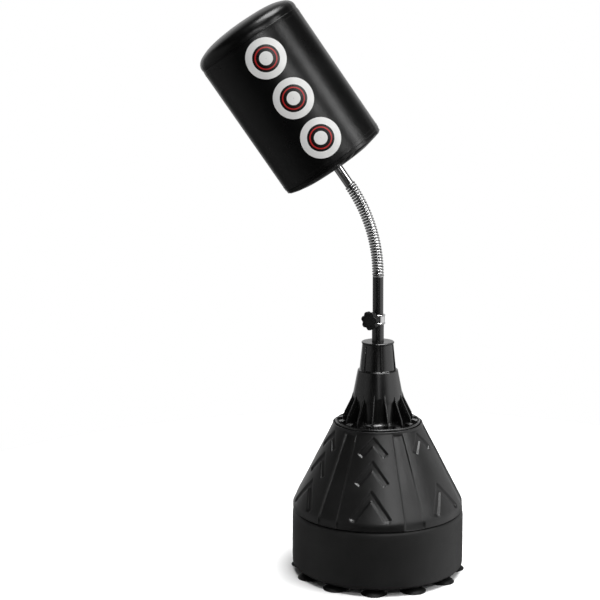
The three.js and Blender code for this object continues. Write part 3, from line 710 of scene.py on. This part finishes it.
def filler_cap():
    """A grooved screw cap with a bar to turn it by."""
    radius, low, high = reach("fill_cap", FILL_PLACE)
    top = 18.3 * MM
    corners = [
        (0, 15 * MM),
        (24.6 * MM, 15 * MM, 0.5 * MM),
        (24.6 * MM, low, 0.5 * MM),
        (radius, low, 0.8 * MM),
        (radius, top, 3 * MM),
        (radius - 5 * MM, top, 1.5 * MM),
        (radius - 6.5 * MM, top - 1.2 * MM, 1 * MM),
        (0, top - 1.2 * MM),
    ]

    def grips(angle, radius_, height):
        groove = 0.5 + 0.5 * np.cos(36 * angle)
        return radius_ - 1.3 * MM * groove ** 2 * (radius_ > radius - 2 * MM), height

    shell = revolve(rounded(corners), 288, grips)
    bar = slab(bar_outline(2 * radius - 20 * MM, 7.5 * MM), high - top + 3 * MM, 1.2 * MM)
    bar = (bar[0] + [0, 0, (high + top - 3 * MM) / 2], bar[1])
    points, faces = joined([shell, bar])
    piece = add_piece("filler_cap", transformed(points, FILL_PLACE), faces)
    finish_piece(piece, "small", "cap", "fill_cap")


def bar_outline(length, width):
    """A bar with round ends."""
    half = width / 2
    outline = []
    for sign in (1, -1):
        for k in range(9):
            angle = -math.pi / 2 + math.pi * k / 8
            x, y = length / 2 - half + half * math.cos(angle), half * math.sin(angle)
            outline.append((sign * x, sign * y))
    return outline


def suction_cup(name):
    """One cup: a thin bell with a step on its back and a bead round its lip."""
    low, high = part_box(name)
    radius, bottom = (high.x - low.x) / 2, low.z
    corners = [
        (0, high.z),
        (6 * MM, high.z, 1 * MM),
        (6 * MM, 1.7 * MM, 1 * MM),
        (15 * MM, 1.7 * MM, 2 * MM),
        (18 * MM, -1.5 * MM, 3 * MM),
        (26 * MM, -5 * MM, 6 * MM),
        (radius - 2 * MM, bottom + 2.6 * MM, 2 * MM),
        (radius, bottom + 1.4 * MM, 0.8 * MM),
        (radius, bottom, 0.6 * MM),
        (radius - 3 * MM, bottom, 1 * MM),
        (20 * MM, bottom + 5 * MM, 6 * MM),
        (0, bottom + 6.5 * MM),
    ]
    place = Matrix.Translation(((low.x + high.x) / 2, (low.y + high.y) / 2, 0))
    piece = turned("bell_" + name[-2:], corners, 72, place)
    finish_piece(piece, "rubber", "base", name)


# ---- collar ----
def collar():
    """The moulding that holds the mast: lip, ledge, shoulder, fins, flange and its blocks."""
    base, top = (corner.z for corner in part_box("neck_collar"))
    deck = base + 8 * MM
    corners = [
        (LOWER_BORE, top - 14 * MM),
        (LOWER_BORE, top, 0.6 * MM),
        (LIP_RADIUS - 1.4 * MM, top, 1.2 * MM),
        (LIP_RADIUS, top - 1.4 * MM, 1.2 * MM),
        (LIP_RADIUS, top - 3.4 * MM, 1 * MM),
        (LIP_RADIUS - 2 * MM, top - 5.4 * MM, 2 * MM),
        (47.6 * MM, LEDGE_HEIGHT + 2 * MM, 2 * MM),
        (LEDGE_RADIUS - 1.1 * MM, LEDGE_HEIGHT + 1 * MM, 1 * MM),
        (LEDGE_RADIUS, LEDGE_HEIGHT - 0.6 * MM, 1 * MM),
        (SHOULDER_RADIUS, SHOULDER_HEIGHT, 12 * MM),
        (BARREL_RADIUS, SHOULDER_HEIGHT - 16 * MM, 8 * MM),
        (BARREL_RADIUS, deck + 6 * MM, 3 * MM),
        (BARREL_RADIUS + 8 * MM, deck, 3 * MM),
        (FLANGE_RADIUS - 5.4 * MM, deck, 1 * MM),
        (FLANGE_RADIUS - 3.4 * MM, deck + 4 * MM, 1.2 * MM),
        (FLANGE_RADIUS - 1 * MM, deck + 4 * MM, 1.2 * MM),
        (FLANGE_RADIUS, deck + 1 * MM, 1.2 * MM),
        (FLANGE_RADIUS, base, 1 * MM),
        (TANK_NECK_RADIUS + 1.5 * MM, base, 1 * MM),
        (TANK_NECK_RADIUS + 1.5 * MM, base + 26 * MM),
        (LOWER_BORE, base + 26 * MM),
    ]
    fin = [
        (50 * MM, base + 6 * MM),
        (FIN_FOOT_RADIUS, base + 6 * MM),
        (FIN_FOOT_RADIUS + 0.2 * MM, base + 12 * MM),
        (FIN_FOOT_RADIUS - 3 * MM, base + 28 * MM),
        (69.5 * MM, SHOULDER_HEIGHT - 4 * MM),
        (67.4 * MM, SHOULDER_HEIGHT + 4 * MM),
        (63.4 * MM, SHOULDER_HEIGHT + 14 * MM),
        (50 * MM, SHOULDER_HEIGHT + 14 * MM),
    ]
    block = [
        (90 * MM, base + 5 * MM),
        (107 * MM, base + 5 * MM),
        (106 * MM, base + 15 * MM),
        (92 * MM, base + 17 * MM),
    ]
    rib = [
        (38 * MM, top - 8 * MM),
        (43 * MM, top - 7 * MM),
        (50.4 * MM, LEDGE_HEIGHT + 1 * MM),
        (42 * MM, LEDGE_HEIGHT + 1 * MM),
    ]
    parts = [revolve(rounded(corners), 128)]
    upright = Matrix.Rotation(math.pi / 2, 4, "X")
    for outline, thickness, bevel, count, phase in (
        (fin, 4, 1.5, FINS, FIN_PHASE),
        (block, 15, 1.2, FINS, FIN_PHASE + 180 / FINS),
        (rib, 3.4, 1.3, COLLAR_RIBS, COLLAR_RIB_PHASE),
    ):
        points, faces = slab(outline, thickness * MM, bevel * MM)
        for i in range(count):
            place = spoke(phase + 360 / count * i) @ upright
            parts.append((transformed(points, place), faces))
    finish_piece(add_piece("collar_moulding", *joined(parts)), "collar", "base", "neck_collar")


# ---- mast ----
def tube(name, node, wall, look, body, place=None):
    radius, low, high = reach(node, place)
    inner, rim = radius - wall, 0.5 * MM
    corners = [
        (inner, low, rim),
        (radius, low + 0.01 * MM, rim),
        (radius, 0.5 * (low + high), 10 * MM),
        (radius, high, rim),
        (inner, high, rim),
    ]
    finish_piece(turned(name, corners, 96, place), look, body, node)


def clamp():
    """The ring on the lower tube's mouth, with two rolled edges and the stud's boss."""
    low, high = (corner.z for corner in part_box("mast_clamp"))
    upper = reach("upper_tube")[0] + GAP
    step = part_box("lower_tube")[1].z + GAP
    waist = CLAMP_RADIUS - 1.3 * MM
    ring_corners = [
        (LOWER_BORE, low + 1 * MM),
        (LOWER_BORE + 0.6 * MM, low, 0.4 * MM),
        (CLAMP_RADIUS - 1.2 * MM, low, 1 * MM),
        (CLAMP_RADIUS, low + 1.6 * MM, 1 * MM),
        (CLAMP_RADIUS, low + 3.4 * MM, 0.8 * MM),
        (waist, low + 4.4 * MM, 0.6 * MM),
        (waist, high - 4.4 * MM, 0.6 * MM),
        (CLAMP_RADIUS, high - 3.4 * MM, 0.8 * MM),
        (CLAMP_RADIUS, high - 1.6 * MM, 1 * MM),
        (CLAMP_RADIUS - 1.2 * MM, high, 1 * MM),
        (upper + 0.5 * MM, high, 0.4 * MM),
        (upper, high - 1 * MM),
        (upper, step),
        (LOWER_BORE, step),
    ]
    boss_corners = [(4.4, 15.9), (9.5, 15.9), (9.5, 21, 0.6), (10.3, 21.8, 0.6)]
    boss_corners += [(10.3, 23.2, 0.6), (9.4, 24, 0.6), (4.4, 24, 0.5)]
    ring = revolve(rounded(ring_corners), 96)
    points, faces = revolve(rounded(in_mm(boss_corners)), 48)
    both = joined([ring, (transformed(points, KNOB_PLACE), faces)])
    finish_piece(add_piece("clamp_ring", *both), "chrome", "base", "mast_clamp")


def knob():
    """A lobed hand knob with a dished face and a boss behind."""
    low, high = 27 * MM, 42 * MM
    corners = [
        (4.3 * MM, 24.6 * MM),
        (10.5 * MM, 24.6 * MM, 0.8 * MM),
        (10.5 * MM, low, 0.8 * MM),
        (KNOB_RADIUS, low, 3 * MM),
        (KNOB_RADIUS, high, 3.5 * MM),
        (KNOB_RADIUS - 7 * MM, high, 2 * MM),
        (KNOB_RADIUS - 10 * MM, high - 1.5 * MM, 2 * MM),
        (0.01 * MM, high - 1.5 * MM),
        (0.01 * MM, high - 4 * MM),
        (4.3 * MM, high - 4 * MM, 0.5 * MM),
    ]

    def lobed(angle, radius, height):
        wave = 0.5 - 0.5 * np.cos(KNOB_LOBES * angle)
        share = smooth((radius - 12 * MM) / (12 * MM))
        return radius - 4.2 * MM * wave ** 1.6 * share, height

    piece = turned("knob_head", corners, 168, KNOB_PLACE, lobed)
    finish_piece(piece, "small", "knob", "clamp_knob")


# ---- sprung neck ----
def coil_zone(index):
    """One zone of the coil spring's helix, wound along the neck's bent centreline."""
    zone = NECK_LENGTH / NECK_ZONES
    steps = int(COILS / NECK_ZONES * STEPS_A_COIL)
    pitch = math.atan2(NECK_LENGTH / (COILS * TURN), COIL_RADIUS)
    points = []
    for along in (index - 1) * zone + zone * np.linspace(0, 1, steps + 1):
        a = along / NECK_LENGTH * COILS * TURN
        out = Vector((math.cos(a), math.sin(a), 0))
        tangent = Vector((-math.sin(a), math.cos(a), 0)) * math.cos(pitch)
        tangent.z = math.sin(pitch)
        across = tangent.cross(out)
        place = neck(along)
        for k in range(WIRE_SIDES):
            b = TURN * k / WIRE_SIDES
            x, y = WIRE_RADIUS * math.cos(b), WIRE_RADIUS * math.sin(b)
            points.append(place @ (out * (COIL_RADIUS + x) + across * y))
    faces = row_faces(steps + 1, WIRE_SIDES) + ends(steps + 1, WIRE_SIDES)
    piece = add_piece(f"coil_spring_{index}", points, faces, 60)
    nodes = [f"neck_spring_{index}"] + (["neck_spring_0"] if index == 1 else [])
    finish_piece(piece, "spring", None, *nodes)
    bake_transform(piece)


# ---- bag ----
BAG_RADIUS = reach("cover_side", BAG)[0]
BAG_FOOT = reach("cover_bottom", BAG)[1]
BAG_CROWN = reach("cover_top", BAG)[2]
BOTTOM_SEAM = reach("cover_bottom", BAG)[2] + SEAM_GAP
TOP_SEAM = reach("cover_top", BAG)[1] - SEAM_GAP
BAG_BOTTOM = BOTTOM_SEAM - 12 * MM
BAG_TOP = TOP_SEAM + 20 * MM


def bag_outline():
    """The whole bag's outline from its rod hole up to its top, at rest."""
    hole = reach("chrome_rod", BAG)[0] + 2 * MM
    corners = [
        (hole, BAG_FOOT),
        (80 * MM, BAG_FOOT + 2.5 * MM, 50 * MM),
        (BAG_RADIUS - 5 * MM, BAG_BOTTOM - 1.6 * MM, 8 * MM),
        (BAG_RADIUS, BAG_BOTTOM + 3.4 * MM, 5 * MM),
        (BAG_RADIUS, BOTTOM_SEAM, 0),
        (BAG_RADIUS, TOP_SEAM, 0),
        (BAG_RADIUS - 0.3 * MM, BAG_TOP - 1 * MM, 14 * MM),
        (BAG_RADIUS - 11 * MM, BAG_TOP + 11.5 * MM, 14 * MM),
        (104 * MM, BAG_CROWN - 9 * MM, 30 * MM),
        (60 * MM, BAG_CROWN - 2 * MM, 50 * MM),
        (0, BAG_CROWN),
    ]
    return rounded(corners, 10)


def resampled(outline, step):
    """Points about this far apart along an outline."""
    gaps = np.linalg.norm(np.diff(outline, axis=0), axis=1)
    length = np.concatenate([[0], np.cumsum(gaps)])
    count = max(1, int(round(length[-1] / step)))
    at = np.linspace(0, length[-1], count + 1)
    return np.column_stack([np.interp(at, length, outline[:, i]) for i in range(2)])


def cloth_bag():
    """The bag's three vinyl panels swollen over their foam. Returns rows of points, bottom to
    top, in the bag's frame, and the rows of the two seams."""

    def wall(height):
        return [BAG_RADIUS, height]

    outline = bag_outline()
    below = outline[outline[:, 1] < BOTTOM_SEAM - PANEL_EDGE]
    above = outline[outline[:, 1] > TOP_SEAM + PANEL_EDGE]
    bottom = resampled(np.vstack([below, wall(BOTTOM_SEAM - PANEL_EDGE)]), CLOTH_STEP)
    side = np.array([wall(BOTTOM_SEAM + PANEL_EDGE), wall(TOP_SEAM - PANEL_EDGE)])
    side = resampled(side, CLOTH_STEP)
    top = resampled(np.vstack([wall(TOP_SEAM + PANEL_EDGE), above]), CLOTH_STEP)[:-1]
    rows = np.vstack([bottom, wall(BOTTOM_SEAM), side, wall(TOP_SEAM), top])
    low_seam, high_seam = len(bottom), len(bottom) + 1 + len(side)
    angle = np.arange(BAG_COLUMNS) * TURN / BAG_COLUMNS
    grid = np.stack(
        [
            rows[:, :1] * np.sin(angle),
            -rows[:, :1] * np.cos(angle),
            np.repeat(rows[:, 1:], BAG_COLUMNS, axis=1),
        ],
        axis=-1,
    )
    grid = swollen(grid, (low_seam, high_seam))
    return puckered(grid, (low_seam, high_seam)), low_seam, high_seam


def swollen(grid, seams):
    """Blows the closed bag up as cloth with its seams held, and caps how far it may move."""
    rows, columns = grid.shape[:2]
    points = np.vstack([grid.reshape(-1, 3), grid[0].mean(axis=0), grid[-1].mean(axis=0)])
    dummy = add_piece("cloth_form", points, row_faces(rows, columns) + pole_faces(rows, columns))
    held = dummy.vertex_groups.new(name="held")
    held.add([seam * columns + k for seam in seams for k in range(columns)], 1.0, "REPLACE")
    held.add(list(range(2 * columns)) + [rows * columns], 1.0, "REPLACE")
    cloth = dummy.modifiers.new("Cloth", "CLOTH")
    settings = cloth.settings
    settings.vertex_group_mass = "held"
    settings.use_pressure = True
    settings.uniform_pressure_force = 4.0
    settings.mass = 0.4
    settings.tension_stiffness = 25
    settings.compression_stiffness = 25
    settings.bending_stiffness = 2.0
    settings.shrink_min = -0.012
    settings.effector_weights.gravity = 0
    settings.quality = 5
    cloth.collision_settings.use_collision = False
    scene = bpy.context.scene
    for step in range(1, 21):
        scene.frame_set(step)
    shape = dummy.evaluated_get(bpy.context.evaluated_depsgraph_get()).to_mesh()
    result = np.array([v.co for v in shape.vertices], float)[: rows * columns]
    scene.frame_set(1)
    bpy.data.objects.remove(dummy)
    move = result.reshape(grid.shape) - grid
    size = np.linalg.norm(move, axis=-1, keepdims=True)
    return grid + move * np.minimum(1, SWELL_CAP / np.maximum(size, 1e-9))


def puckered(grid, seams):
    """Small pulls in the vinyl beside each seam, and a shallow valley along it."""
    rows, columns = grid.shape[:2]
    angle = np.arange(columns) * TURN / columns
    height = grid[:, :, 2]
    out = np.stack([np.sin(angle), -np.cos(angle), np.zeros(columns)], axis=-1)
    pull = 0.5 * np.sin(23 * angle + 3 * np.sin(5 * angle)) + 0.3 * np.sin(41 * angle + 1.7)
    for seam in seams:
        away = np.abs(height - height[seam].mean())
        on_side = np.hypot(grid[:, :, 0], grid[:, :, 1]) > BAG_RADIUS - 25 * MM
        near = on_side * np.exp(-away / (16 * MM))
        valley = np.exp(-((away / (5 * MM)) ** 2))
        rise = PUCKER * pull * near * (1 - valley) - VALLEY_DEPTH * valley * on_side
        grid = grid + out * rise[..., None]
    return grid


def panel(name, grid, node, close_pole=False):
    """One vinyl panel as a shell: the grid outside and an offset of it inside."""
    rows, columns = grid.shape[:2]
    across = np.roll(grid, -1, axis=1) - np.roll(grid, 1, axis=1)
    along = np.gradient(grid, axis=0)
    normal = np.cross(across, along)
    normal /= np.maximum(np.linalg.norm(normal, axis=-1, keepdims=True), 1e-12)
    inner = grid - normal * COVER
    points = np.vstack([grid.reshape(-1, 3), inner.reshape(-1, 3)])
    shift, last = rows * columns, (rows - 1) * columns
    faces = row_faces(rows, columns)
    faces += row_faces(rows, columns, flipped=True, start=shift, crossed=True)
    if close_pole:
        points = np.vstack([points, grid[-1].mean(axis=0), inner[-1].mean(axis=0)])
    for k in range(columns):
        m = (k + 1) % columns
        faces.append((k, shift + k, shift + m, m))
        if close_pole:
            faces.append((2 * shift, last + k, last + m))
            faces.append((2 * shift + 1, shift + last + m, shift + last + k))
        else:
            faces.append((last + k, last + m, shift + last + m, shift + last + k))
    piece = add_piece(name, transformed(points, BAG), faces)
    finish_piece(piece, "vinyl", "bag", node)


def piping(name, ring, node):
    """A cord of vinyl sewn into a seam."""
    sides = 12
    middle = ring.mean(axis=0)
    points = []
    for at in ring:
        out = at - middle
        out[2] = 0
        out /= np.linalg.norm(out)
        for j in range(sides):
            b = TURN * j / sides
            x, z = PIPING_RADIUS * math.cos(b) - 0.2 * MM, PIPING_RADIUS * math.sin(b)
            points.append(at + out * x + [0, 0, z])
    faces = row_faces(len(ring), sides, closed=True, flipped=True)
    finish_piece(add_piece(name, transformed(points, BAG), faces), "piping", "bag", node)


def stitch():
    """One stitch along X: a short thread that dips at both ends."""
    steps, sides = 6, 6
    points = []
    for i in range(steps + 1):
        t = i / steps
        x = (t - 0.5) * STITCH_LENGTH
        lift = 0.35 * MM * math.sin(math.pi * t) - 0.25 * MM
        thick = STITCH_RADIUS * (0.5 + 0.5 * math.sin(math.pi * t))
        for j in range(sides):
            b = TURN * j / sides
            points.append((x, thick * math.cos(b), lift + thick * math.sin(b)))
    faces = row_faces(steps + 1, sides, flipped=True) + ends(steps + 1, sides, flipped=True)
    return np.array(points), faces


def stitch_row(name, path, normals):
    """Stitches one after another along a closed or open path."""
    gaps = np.linalg.norm(np.diff(path, axis=0), axis=1)
    length = np.concatenate([[0], np.cumsum(gaps)])
    count = int(length[-1] / STITCH_PITCH)
    model_points, model_faces = stitch()

    def between(values, distance):
        return np.array([np.interp(distance, length, values[:, k]) for k in range(3)])

    parts = []
    for i in range(count):
        s = (i + 0.5) * length[-1] / count
        at = between(path, s)
        x = between(path, s + 1 * MM) - between(path, s - 1 * MM)
        x /= np.linalg.norm(x)
        z = between(normals, s)
        z -= x * (z @ x)
        z /= np.linalg.norm(z)
        y = np.cross(z, x)
        parts.append((model_points @ np.array([x, y, z]) + at, model_faces))
    points, faces = joined(parts)
    finish_piece(add_piece(name, transformed(points, BAG), faces), "thread", "bag")


def round_stitches(name, grid, height):
    """A row of stitches round the bag, on its cover at this height."""
    columns = grid.shape[1]
    ring = []
    for k in range(columns):
        heights = grid[:, k, 2]
        outer = np.hypot(grid[:, k, 0], grid[:, k, 1])
        wide = [i for i in np.argsort(heights) if outer[i] > BAG_RADIUS - 30 * MM]
        r = np.interp(height, heights[wide], outer[wide])
        ring.append(around(r, 360 * k / columns, height))
    ring = np.array(ring + ring[:1])
    normals = ring * [1, 1, 0]
    stitch_row(name, ring, normals / np.linalg.norm(normals, axis=1)[:, None])


def back_seam(grid, rows):
    """The side panel's own seam, up the back: a tape with a row of stitches each side."""
    path = grid[rows[0] : rows[1] + 1, grid.shape[1] // 2]
    out = path * [1, 1, 0]
    out /= np.linalg.norm(out, axis=1)[:, None]
    side = np.cross([0, 0, 1], out)
    section = in_mm(BACK_TAPE)
    points = np.stack([path + side * x + out * y for x, y in section], axis=1)
    count = len(section)
    faces = row_faces(len(path), count, flipped=True) + ends(len(path), count, flipped=True)
    piece = add_piece("back_seam_tape", transformed(points.reshape(-1, 3), BAG), faces)
    finish_piece(piece, "piping", "bag")
    for sign, label in ((-1, "left"), (1, "right")):
        line = path + side * sign * TAPE_STITCH + out * 1.1 * MM
        stitch_row(f"back_seam_stitches_{label}", line, out)


def cover_point(grid, rows, degrees, height):
    """The side panel's point at this angle and height, and the way out from it."""
    columns = grid.shape[1]
    at = (degrees / 360 * columns) % columns
    k, t = int(at), at - int(at)
    side = grid[rows[0] : rows[1] + 1]
    line = side[:, k] * (1 - t) + side[:, (k + 1) % columns] * t
    point = np.array([np.interp(height, line[:, 2], line[:, i]) for i in range(3)])
    out = point * [1, 1, 0]
    return point, out / np.linalg.norm(out)


def target_ring(name, look, grid, rows, height, inner, outer):
    """A printed ring on the side panel: two layers of rings of points, sunk at the back."""
    sides, rings = 96, 6
    lift, sunk = 0.25 * MM, -0.2 * MM
    points = []
    for deep in (lift, sunk):
        for radius in np.linspace(inner, outer, rings):
            for k in range(sides):
                b = TURN * k / sides
                turn = math.degrees(radius * math.cos(b) / BAG_RADIUS)
                at = TARGET_ANGLE + turn, height + radius * math.sin(b)
                point, out = cover_point(grid, rows, *at)
                points.append(point + out * deep)
    shift, last = rings * sides, (rings - 1) * sides
    faces = row_faces(rings, sides, flipped=True)
    faces += row_faces(rings, sides, start=shift, crossed=True)
    for k in range(sides):
        m = (k + 1) % sides
        faces.append((last + k, shift + last + k, shift + last + m, last + m))
        faces.append((m, shift + m, shift + k, k))
    finish_piece(add_piece(name, transformed(points, BAG), faces), look, "bag")


def targets(grid, rows):
    """Three generic strike targets, one above another: a ring, a thin red ring and a dot."""
    for i in (-1, 0, 1):
        height = (BAG_TOP + BAG_BOTTOM) / 2 + i * TARGET_SPACING
        for part, look, inner, outer in TARGET_RINGS:
            name = f"target_{part}_{i + 2}"
            target_ring(name, look, grid, rows, height, inner * MM, outer * MM)


def bag():
    grid, low_seam, high_seam = cloth_bag()
    side_rows = (low_seam + 1, high_seam - 1)
    panel("bag_bottom_panel", grid[:low_seam], "cover_bottom")
    panel("bag_side_panel", grid[low_seam + 1 : high_seam], "cover_side")
    panel("bag_top_panel", grid[high_seam + 1 :], "cover_top", close_pole=True)
    piping("bottom_piping_cord", grid[low_seam], "piping_bottom")
    piping("top_piping_cord", grid[high_seam], "piping_top")
    round_stitches("bottom_hem_stitches", grid, BOTTOM_SEAM + HEM)
    round_stitches("top_hem_stitches", grid, TOP_SEAM - HEM)
    back_seam(grid, side_rows)
    targets(grid, side_rows)


# ---- room ----
def camera():
    data = bpy.data.cameras.new("camera")
    data.lens = LENS
    data.sensor_width = SENSOR
    eye = bpy.data.objects.new("camera", data)
    bpy.context.scene.collection.objects.link(eye)
    pitch = Matrix.Rotation(radians(90 - CAMERA_PITCH), 4, "X")
    roll = Matrix.Rotation(radians(CAMERA_ROLL), 4, "Z")
    eye.matrix_world = Matrix.Translation(CAMERA_PLACE) @ pitch @ roll
    bpy.context.scene.camera = eye


def lamp(name, data, place, target):
    light = bpy.data.objects.new(name, data)
    light.location = place
    light.rotation_euler = (Vector(target) - Vector(place)).to_track_quat("-Z", "Y").to_euler()
    light.visible_camera = False
    bpy.context.scene.collection.objects.link(light)


def softbox(name, place, target, size, power):
    data = bpy.data.lights.new(name, "AREA")
    data.shape = "RECTANGLE"
    data.size, data.size_y = size
    data.energy = power
    lamp(name, data, place, target)


def overhead():
    data = bpy.data.lights.new("overhead", "SUN")
    data.angle = radians(SUN_SPREAD)
    data.energy = SUN_STRENGTH
    lamp("overhead", data, SUN_PLACE, (0, 0, 0))


def floor():
    """A round of pale paper under the object."""
    sides = 128
    points = [(0, 0, CAD_LOW.z)]
    points += [around(FLOOR_RADIUS, 360 * k / sides, CAD_LOW.z) for k in range(sides)]
    faces = [(0, 1 + k, 1 + (k + 1) % sides) for k in range(sides)]
    paper = add_piece("floor", points, faces)
    material = bpy.data.materials.new("floor_paper")
    material.use_nodes = True
    shader = material.node_tree.nodes["Principled BSDF"]
    shader.inputs["Base Color"].default_value = (0.9, 0.9, 0.9, 1)
    shader.inputs["Roughness"].default_value = 0.9
    shader.inputs["Specular IOR Level"].default_value = 0
    paper.data.materials.append(material)
    paper.visible_glossy = False


def stepped(tree, source, start, end, level):
    """A smooth rise from nothing, where the source is at start, to this level at end."""
    node = tree.nodes.new("ShaderNodeMapRange")
    node.interpolation_type = "SMOOTHSTEP"
    low, high = sorted(((start, 0.0), (end, level)))
    for socket, value in zip(("From Min", "To Min", "From Max", "To Max"), (*low, *high)):
        node.inputs[socket].default_value = value
    tree.links.new(source, node.inputs["Value"])
    return node.outputs["Result"]


def reckoned(tree, operation, a, b):
    node = tree.nodes.new("ShaderNodeMath")
    node.operation = operation
    for i, value in enumerate((a, b)):
        if isinstance(value, float):
            node.inputs[i].default_value = value
        else:
            tree.links.new(value, node.inputs[i])
    return node.outputs["Value"]


def studio():
    """White paper wherever the camera looks; what the object mirrors is a white backdrop
    behind it, a bright screen at its right, a dim one at its left, a faint glow from the ground
    and a dark room. Each starts and ends at a part of the unit direction along one axis."""
    world = bpy.data.worlds.new("studio")
    world.use_nodes = True
    tree = world.node_tree
    seen = tree.nodes["Background"]
    seen.inputs["Color"].default_value = (1, 1, 1, 1)
    mirrored = tree.nodes.new("ShaderNodeBackground")
    direction = tree.nodes.new("ShaderNodeTexCoord").outputs["Generated"]
    split = tree.nodes.new("ShaderNodeSeparateXYZ")
    tree.links.new(direction, split.inputs["Vector"])
    hung = stepped(tree, split.outputs["Z"], -0.45, -0.1, BACKDROP_LEVEL)
    behind = reckoned(tree, "MULTIPLY", stepped(tree, split.outputs["Y"], 0.6, 0.95, 1.0), hung)
    right = stepped(tree, split.outputs["X"], 0.45, 0.9, RIGHT_LEVEL)
    left = stepped(tree, split.outputs["X"], -0.5, -0.9, LEFT_LEVEL)
    low = stepped(tree, split.outputs["Z"], 0.45, 0.2, 1.0)
    ground = stepped(tree, split.outputs["Z"], -0.05, -0.4, GROUND_LEVEL)
    beside = reckoned(tree, "MULTIPLY", reckoned(tree, "MAXIMUM", right, left), low)
    level = reckoned(tree, "MAXIMUM", reckoned(tree, "MAXIMUM", behind, beside), ground)
    tree.links.new(reckoned(tree, "MAXIMUM", level, ROOM_LEVEL), mirrored.inputs["Strength"])
    choice = tree.nodes.new("ShaderNodeMixShader")
    path = tree.nodes.new("ShaderNodeLightPath")
    tree.links.new(path.outputs["Is Camera Ray"], choice.inputs["Fac"])
    tree.links.new(mirrored.outputs["Background"], choice.inputs[1])
    tree.links.new(seen.outputs["Background"], choice.inputs[2])
    tree.links.new(choice.outputs["Shader"], tree.nodes["World Output"].inputs["Surface"])
    bpy.context.scene.world = world


def room():
    floor()
    studio()
    overhead()
    for box in SOFTBOXES:
        softbox(*box)
    bpy.context.scene.view_settings.view_transform = "Standard"


camera()
cone()
drum()
filler_neck()
filler_cap()
for number in range(1, SUCTION_CUPS + 1):
    suction_cup(f"suction_cup_{number:02d}")
collar()
tube("mast_tube_lower", "lower_tube", 1.2 * MM, "paint", "base")
tube("mast_tube_upper", "upper_tube", 1.6 * MM, "paint", "mast")
tube("bag_rod", "chrome_rod", 1.5 * MM, "chrome", "bag", BAG)
clamp()
knob()
for number in range(1, NECK_ZONES + 1):
    coil_zone(number)
bag()
kept_nodes()
room()
